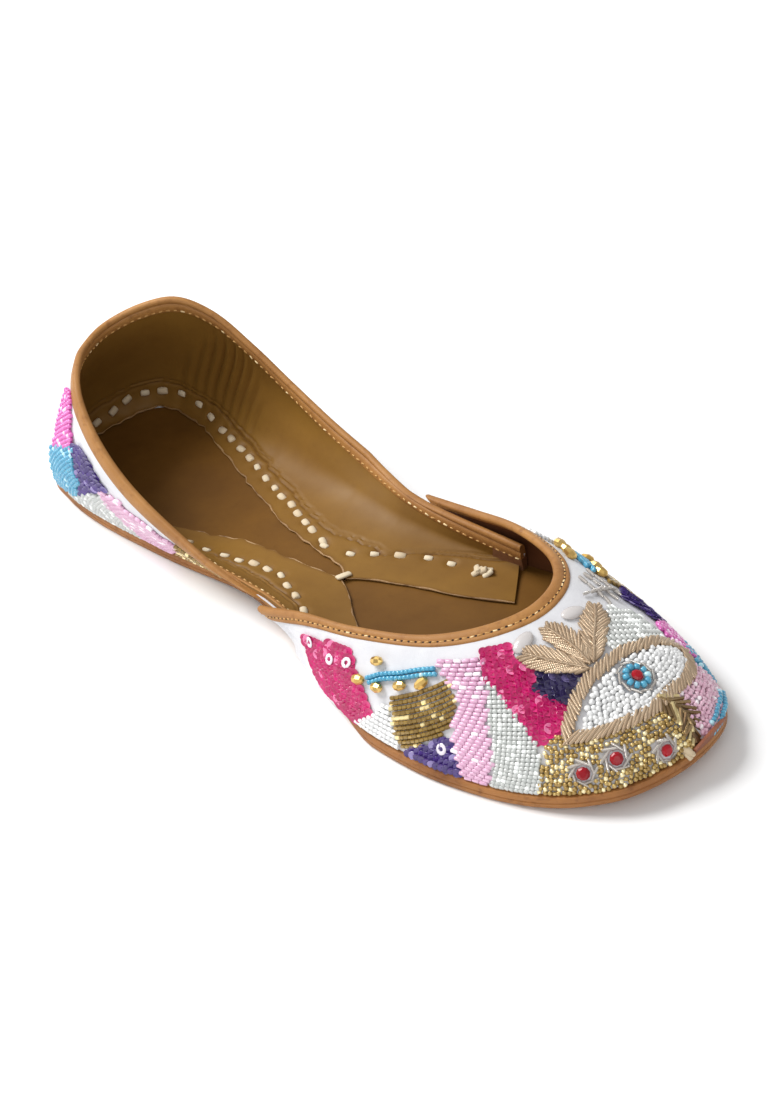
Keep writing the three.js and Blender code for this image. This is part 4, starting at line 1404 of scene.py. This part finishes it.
# %% Rows sewn on
sew("pink_tube_beads", [pink_rows, *pink_heel_rows], tube_bead, pink_glass, seed=7)
sew("pink_toe_beads", [jittered(toe_rows, 0.22, 31)], tube_bead, rose_glass, turn=0.4, seed=8)
sew("lilac_heel_beads", lilac_rows, seed_bead, lilac_glass, turn=0.12, seed=32)
sew("silver_beads", [wedge_rows, *silver_heel_rows], tube_bead, silver_glass, turn=0.22, seed=9)
sew("silver_tube_beads", [silver_toe_rows], tube_bead, silver_glass, seed=10)
sew("gold_cut_beads", [square_rows, gold_far_rows, *gold_heel_rows], cut_bead, bronze_glass, turn=0.06,
    seed=11)
sew("white_beads", [white_rows, white_far_rows], tube_bead, milk_glass, turn=0.12, seed=12)
sew("lilac_tube_beads", [lilac_far_rows], tube_bead, lilac_glass, seed=13)
print({name: count for name, count in sewn_count.items() if "beads" in name})

# %% [markdown]
# ## Sprig, gold field and toe edge
# A cyan stem of round beads carries gold ovals like buds. Under the eye, small gold-lined beads are
# rows moved by chance, with a clear place round each stone. The loose cyan beads at the toe are
# placed with a least distance.

# %% Loose beads and sprigs
stem = [(19.7, 56), (22.7, 64), (26, 69), (30, 75), (32.4, 77)]
stem_far = [(77.4, 67), (73, 71), (69, 75)]
STEM_ROW_GAP = 3.4
buds = share([(23.4, 74), (18.2, 52), (21, 51.5), (25, 59), (28.6, 64.5)])
buds_far = share([(75.5, 78), (72.5, 81), (70, 84), (75.5, 60), (72.5, 63), (70, 66), (79.5, 65)])
gold_field = [(35.4, 0), (35.8, 6), (38, 29), (40.5, 37), (45.6, 35.4), (50.4, 32), (51.2, 22), (51.2, 8),
              (51.2, 0)]
cyan_toe = [(67, 4), (65.4, 22), (62.6, 27), (61.9, 12), (62.6, 0), (66, 0)]
STONES = share([(40.5, 13.3), (43.9, 17.1), (48.4, 9.6)])
stones_at = seat(vamp_face, STONES, 0)[0]

stem_rows = [along_line([(u, v - drop) for u, v in line], 1.25, lift=0.8, slant=pi / 2)
             for line in (stem, stem_far) for drop in (0, STEM_ROW_GAP)]
toe_edge = [along_line([(53.6, 1), (57, 1.5), (61, 1)], 1.45, lift=1.35),
            along_line([(54.2, 5), (57, 6), (60.5, 5)], 1.5, lift=1.0)]
cyan_heel_rows = heel_rows(box(58, 65, 70), cyan_heel, pitch=1.5, row_pitch=1.55, lift=0.65)
sew("cyan_beads", [*stem_rows, *toe_edge, scatter_in(cyan_toe, 1.6, lift=0.6, seed=2), *cyan_heel_rows],
    seed_bead, cyan_glass, turn=0.15, seed=14)
bud_turns = np.array([[1, 0.15, 0.1]] * 2 + [[1, 0.4, 0.3]] * 2 + [[0.6, 0.8, 0.6]] + [[1, 0.2, 0]] * 7)
bud_seats = seats_on(vamp_face, np.vstack([buds, buds_far]), bud_turns, 1.3, size=(1.15, 1.25, 1.15))
sew("gold_buds", [bud_seats], gold_oval, gold_metal, turn=0.25, seed=15)
gold_rows = rows_in([(35.4, 38), (51.4, 34), (51.4, 0), (35.4, 0)], gold_field, pitch=1.3, row_pitch=1.2,
                    lift=0.5, size=(0.86, 0.82, 0.82))
sew("gold_seed_beads", [clear_of(jittered(gold_rows, 0.3, 5), stones_at, 3.5)], seed_bead, gold_glass,
    turn=0.6, seed=16)
print("gold field", sewn_count["gold_seed_beads"], "beads")

# %% [markdown]
# ## The eye, the leaves and the stones
# Coiled metal wire is cut into short pieces and sewn like long beads. Slanted pieces make the rope
# round the eye, pairs of slanted pieces make the leaves, and rings of twisted ones go round the
# stones.

# %% The eye
eye_rim = [(40.8, 34.5), (42.9, 44.5), (45.2, 53), (48.4, 58.6), (52.3, 59.4), (56.6, 53), (59.4, 44.5),
           (60.8, 36), (60.7, 29.4), (58.8, 28.4), (56.4, 29.6), (52.8, 31.6), (50, 31), (47.4, 31.6),
           (44, 32.6), (41, 34)]
eye_white = [(42, 34), (44.6, 45), (46.8, 52), (49.2, 56), (52.3, 57), (56.2, 51.5), (59, 43), (60.2, 35),
             (59.8, 31), (56.4, 31.4), (52.8, 33.4), (50, 33), (47.4, 33.4)]
IRIS = share([(51.6, 47)])
iris_at = seat(vamp_face, IRIS, 0)[0]
eye_rows = rows_in(box(41.5, 61, 58, 30), eye_white, pitch=1.42, row_pitch=1.28, size=(1.0, 1.05, 1.05))
sew("eye_white_beads", [clear_of(jittered(eye_rows, 0.3, 8), iris_at, 5.4)], seed_bead, milk_glass, turn=0.5,
    seed=17)
sew("eye_rope", [along_line(eye_rim, 1.3, lift=0.95, size=(0.96, 1.05, 1.05), slant=0.7)], coiled_wire,
    antique_wire, turn=0.1, seed=18)


# %% Iris, stones and swirls
def circle_seats(centre_uv, radius, count, lift, size=(1, 1, 1), twist=0.0, start=0.0):
    """Seats in a ring round a place of the vamp, along the ring or twisted from it."""
    at, out = seat(vamp_face, centre_uv, lift)
    first = np.cross(out[0], UP)
    first /= np.linalg.norm(first)
    second = np.cross(out[0], first)
    angle = start + np.linspace(0, 2 * pi, count, endpoint=False)[:, None]
    radial = first * np.cos(angle) + second * np.sin(angle)
    tangent = -first * np.sin(angle) + second * np.cos(angle)
    along = tangent * cos(twist) + radial * sin(twist)
    sizes = np.tile(np.array(size, float), (count, 1))
    return at + radius * radial, along, np.repeat(out, count, axis=0), sizes


def stone_seats(places, lift, size):
    """Seats for stones, which stand with their axis out of the cloth."""
    at, out = seat(vamp_face, places, lift)
    return at, out, np.tile([1.0, 0, 0], (len(at), 1)), np.tile(np.array(size, float), (len(at), 1))


sew("iris_beads", [circle_seats(IRIS, 3.0, 10, 1.3, size=(1.25, 1.25, 1.2))], seed_bead, cyan_glass, turn=0.1,
    seed=19)
sew("iris_wire", [circle_seats(IRIS, 4.75, 10, 0.9, size=(0.6, 0.75, 0.75), twist=0.2)], coiled_wire,
    silver_wire, turn=0.05, seed=20)
red_seats = [stone_seats(STONES, 0.9, (1.1, 1.05, 1.05)), stone_seats(IRIS, 1.5, (1, 1, 1))]
sew("red_stones", red_seats, red_stone, red_glass, turn=0.1, seed=21)
swirls = [circle_seats(STONES[i:i + 1], 2.9, 8, 0.85, size=(0.75, 0.85, 0.85), twist=0.4, start=0.4 * i)
          for i in range(3)]
sew("stone_swirls", swirls, coiled_wire, silver_wire, turn=0.06, seed=22)


# %% Leaves of coiled wire
def leaf(spine, half_widths, lift=0.8, pitch=1.2, slant=0.62):
    """Pairs of strands along a spine, each pair slanted to its tip, and a strand between them."""
    places, ahead = line_on(vamp_face, share(spine), pitch)
    at, out = seat(vamp_face, places, lift)
    ahead /= np.linalg.norm(ahead, axis=1, keepdims=True)
    side = np.cross(out, ahead)
    spread = np.linspace(0, 1, len(half_widths))
    half = np.interp(np.linspace(0, 1, len(places)), spread, half_widths)[:, None]
    size = np.column_stack([half[:, 0] / sin(slant) / 4.6, np.ones(len(half)), np.ones(len(half))])
    strands = [(at + sign * side * half * 0.5 + ahead * 0.6, ahead * cos(slant) + sign * side * sin(slant),
                out, size) for sign in (-1, 1)]
    middle = (at + 0.35 * out, ahead, out, np.tile([0.42, 0.85, 0.85], (len(at), 1)))
    return [*strands, middle]


leaves = (leaf([(48.2, 62), (46.2, 70), (43.6, 80.5)], (2.0, 3.7, 3.5, 1.7))
          + leaf([(48.9, 64), (49.2, 75), (48.8, 88)], (1.9, 3.6, 3.3, 1.5))
          + leaf([(49.6, 64), (52.6, 72.5), (57.2, 80)], (2.0, 3.6, 3.2, 1.5)))
sew("wire_leaves", leaves, coiled_wire, antique_wire, turn=0.1, seed=23)
drop_turns = np.array([[0.2, 1, 0.1], [-0.2, 1, 0.1]])
drop_seats = seats_on(vamp_face, share([(53.6, 85), (45, 85)]), drop_turns, 0.6, size=(0.9, 0.95, 1))
sew("pale_drops", [drop_seats], pale_drop, pale_glass, turn=0.05, seed=24)

# %% Bugles at the toe and bars by the throat
fan = leaf([(51.6, 33), (52.4, 24), (52.4, 14), (51.8, 6), (51.6, 1)], (3.4, 4.2, 4.0, 3.2, 2.2), lift=0.9,
           pitch=1.35, slant=0.8)
sew("toe_bugles", fan, bugle, dark_gold, turn=0.16, seed=25)
upright_bars = [[(62 + shift * 0.6, 88 - shift), (59.5 + shift * 0.6, 70 - shift)] for shift in (0, 4, 8)]
level_bars = [[(57.6 + shift, 86 - 2 * shift), (64.5 + shift * 0.4, 72 - 2 * shift)]
              for shift in (0, 2.4, 4.8)]
bars = [along_line(bar, 3.4, lift=0.7, size=(0.55, 0.9, 0.9)) for bar in upright_bars]
bars += [along_line(bar, 3.2, lift=0.9, size=(0.5, 0.9, 0.9)) for bar in level_bars]
sew("throat_bars", bars, coiled_wire, silver_wire, turn=0.12, seed=26)
print("sewn pieces:", sum(sewn_count.values()))

# %% [markdown]
# ## Stitches
# Thick cotton sews the upper through to the sole, and shows inside as short dashes in small
# dimples, which are darkened with painted shade. Gold thread runs through the bindings, on the vamp
# between dark needle holes of painted shade.

# %% Cotton stitches
STITCH_SIZE = (1.08, 1.25, 1.1)


def lining_seats(places):
    """Seats on the turned-in lining, each along its row."""
    spots = np.array([lining[place] for place in places])
    out = -np.array([outward[place] for place in places])
    return spots + out * 0.25, np.gradient(spots, axis=0), out, np.tile(STITCH_SIZE, (len(spots), 1))


far_places, near_places = stitch_places[:len(FAR_STITCHES)], stitch_places[len(FAR_STITCHES):]
waist_at = np.array([[122.2, -2.6, sole_lift(122.2) + FLANGE_Z + 0.25]])
waist_seat = (waist_at, np.array([[0.3, 1.0, 0.0]]), UP[None], np.array([[1.75, 1.6, 0.8]]))
CROSS = ((0, 0), (1.8, 0.4), (-1.8, -0.4), (0.6, 1.2), (-0.5, -1.0))
cross_at = np.array([lining[on_lining(151 + dx, 25.5 + dy)] for dx, dy in CROSS])
cross_turns = np.array([[0.8, 0.3, 0.4], [0.4, 0.8, 0.5], [0.9, -0.4, 0.2], [0.9, 0.5, 0.1], [0.2, 0.9, 0.5]])
cross_seat = (cross_at + [0, -0.4, 0.5], cross_turns, np.tile([0, -0.6, 0.8], (5, 1)),
              np.tile([1.35, 1.1, 0.9], (5, 1)))
tie_at = outline_path(lambda x: 0.9 + 0 * x).at(np.array([0.5, 0.5008, 0.5022]))
tie_at[:, 2] = sole_lift(tie_at[:, 0]) + SOLE_THICK + np.array([0.2, 1.0, 0.5])
tie_turns = np.array([[1, 0.2, -0.5], [0.9, 0.5, -0.3], [1, -0.1, -0.7]])
tie_seat = (tie_at, tie_turns, np.tile([0.4, 0, 1.0], (3, 1)), np.tile([1.1, 0.9, 0.8], (3, 1)))
stitches = [lining_seats(far_places), lining_seats(near_places), waist_seat, cross_seat, tie_seat]
sew("cotton_stitches", stitches, cotton_stitch, cotton, turn=0.2, change=0.14, seed=27, slot="sock_leather")


# %% Binding stitches
STITCH_LINE, INNER_STITCH_LINE = 3.3, 4.4
STITCH_PITCH, INNER_STITCH_PITCH = 2.1, 2.3


def band_places(face, drop, pitch, depth, shift, sunk, facing=1):
    """Seats along a binding, a distance below its edge, that face out or (with -1) in."""
    u = np.linspace(0.004, 0.996, 900)
    v = below_edge(face, u, drop)
    at = under(face, u, v, sunk(u, v) + depth)
    run = run_of(at)
    wanted = np.arange(shift, run[-1], pitch)
    columns = read_columns(wanted, run, at, np.gradient(at, axis=0), facing * normal_of(face, u, v))
    return *columns, np.ones((len(wanted), 3))


dashes = [band_places(vamp_face, STITCH_LINE, STITCH_PITCH, -0.22, 0.0, no_tuck),
          band_places(quarter_face, INNER_STITCH_LINE, INNER_STITCH_PITCH, 2.14, 0.0, deep_tuck, facing=-1)]
sew("binding_thread", dashes, thread_dash, gold_thread, turn=0.25, change=0.2, seed=28,
    slot="binding_leather")
# Needle holes between the dashes, small dark lenses of painted shade.
at, along, out, size = band_places(vamp_face, STITCH_LINE, STITCH_PITCH, -0.2, STITCH_PITCH / 2, no_tuck)
sew("binding_holes", [(at, out, along, size)], needle_hole, hole_shade, turn=0.2, change=0.2, seed=29,
    slot="binding_leather")
print("stitches", sewn_count["cotton_stitches"], "thread dashes", sewn_count["binding_thread"])

# %% Sizes and finish
meshes = [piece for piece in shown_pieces() if piece.type == "MESH"]
triangles = {piece.name: sum(len(p.vertices) - 2 for p in piece.data.polygons) for piece in meshes}
print("triangles:", sum(triangles.values()), "largest:", max(triangles.items(), key=lambda item: item[1]))
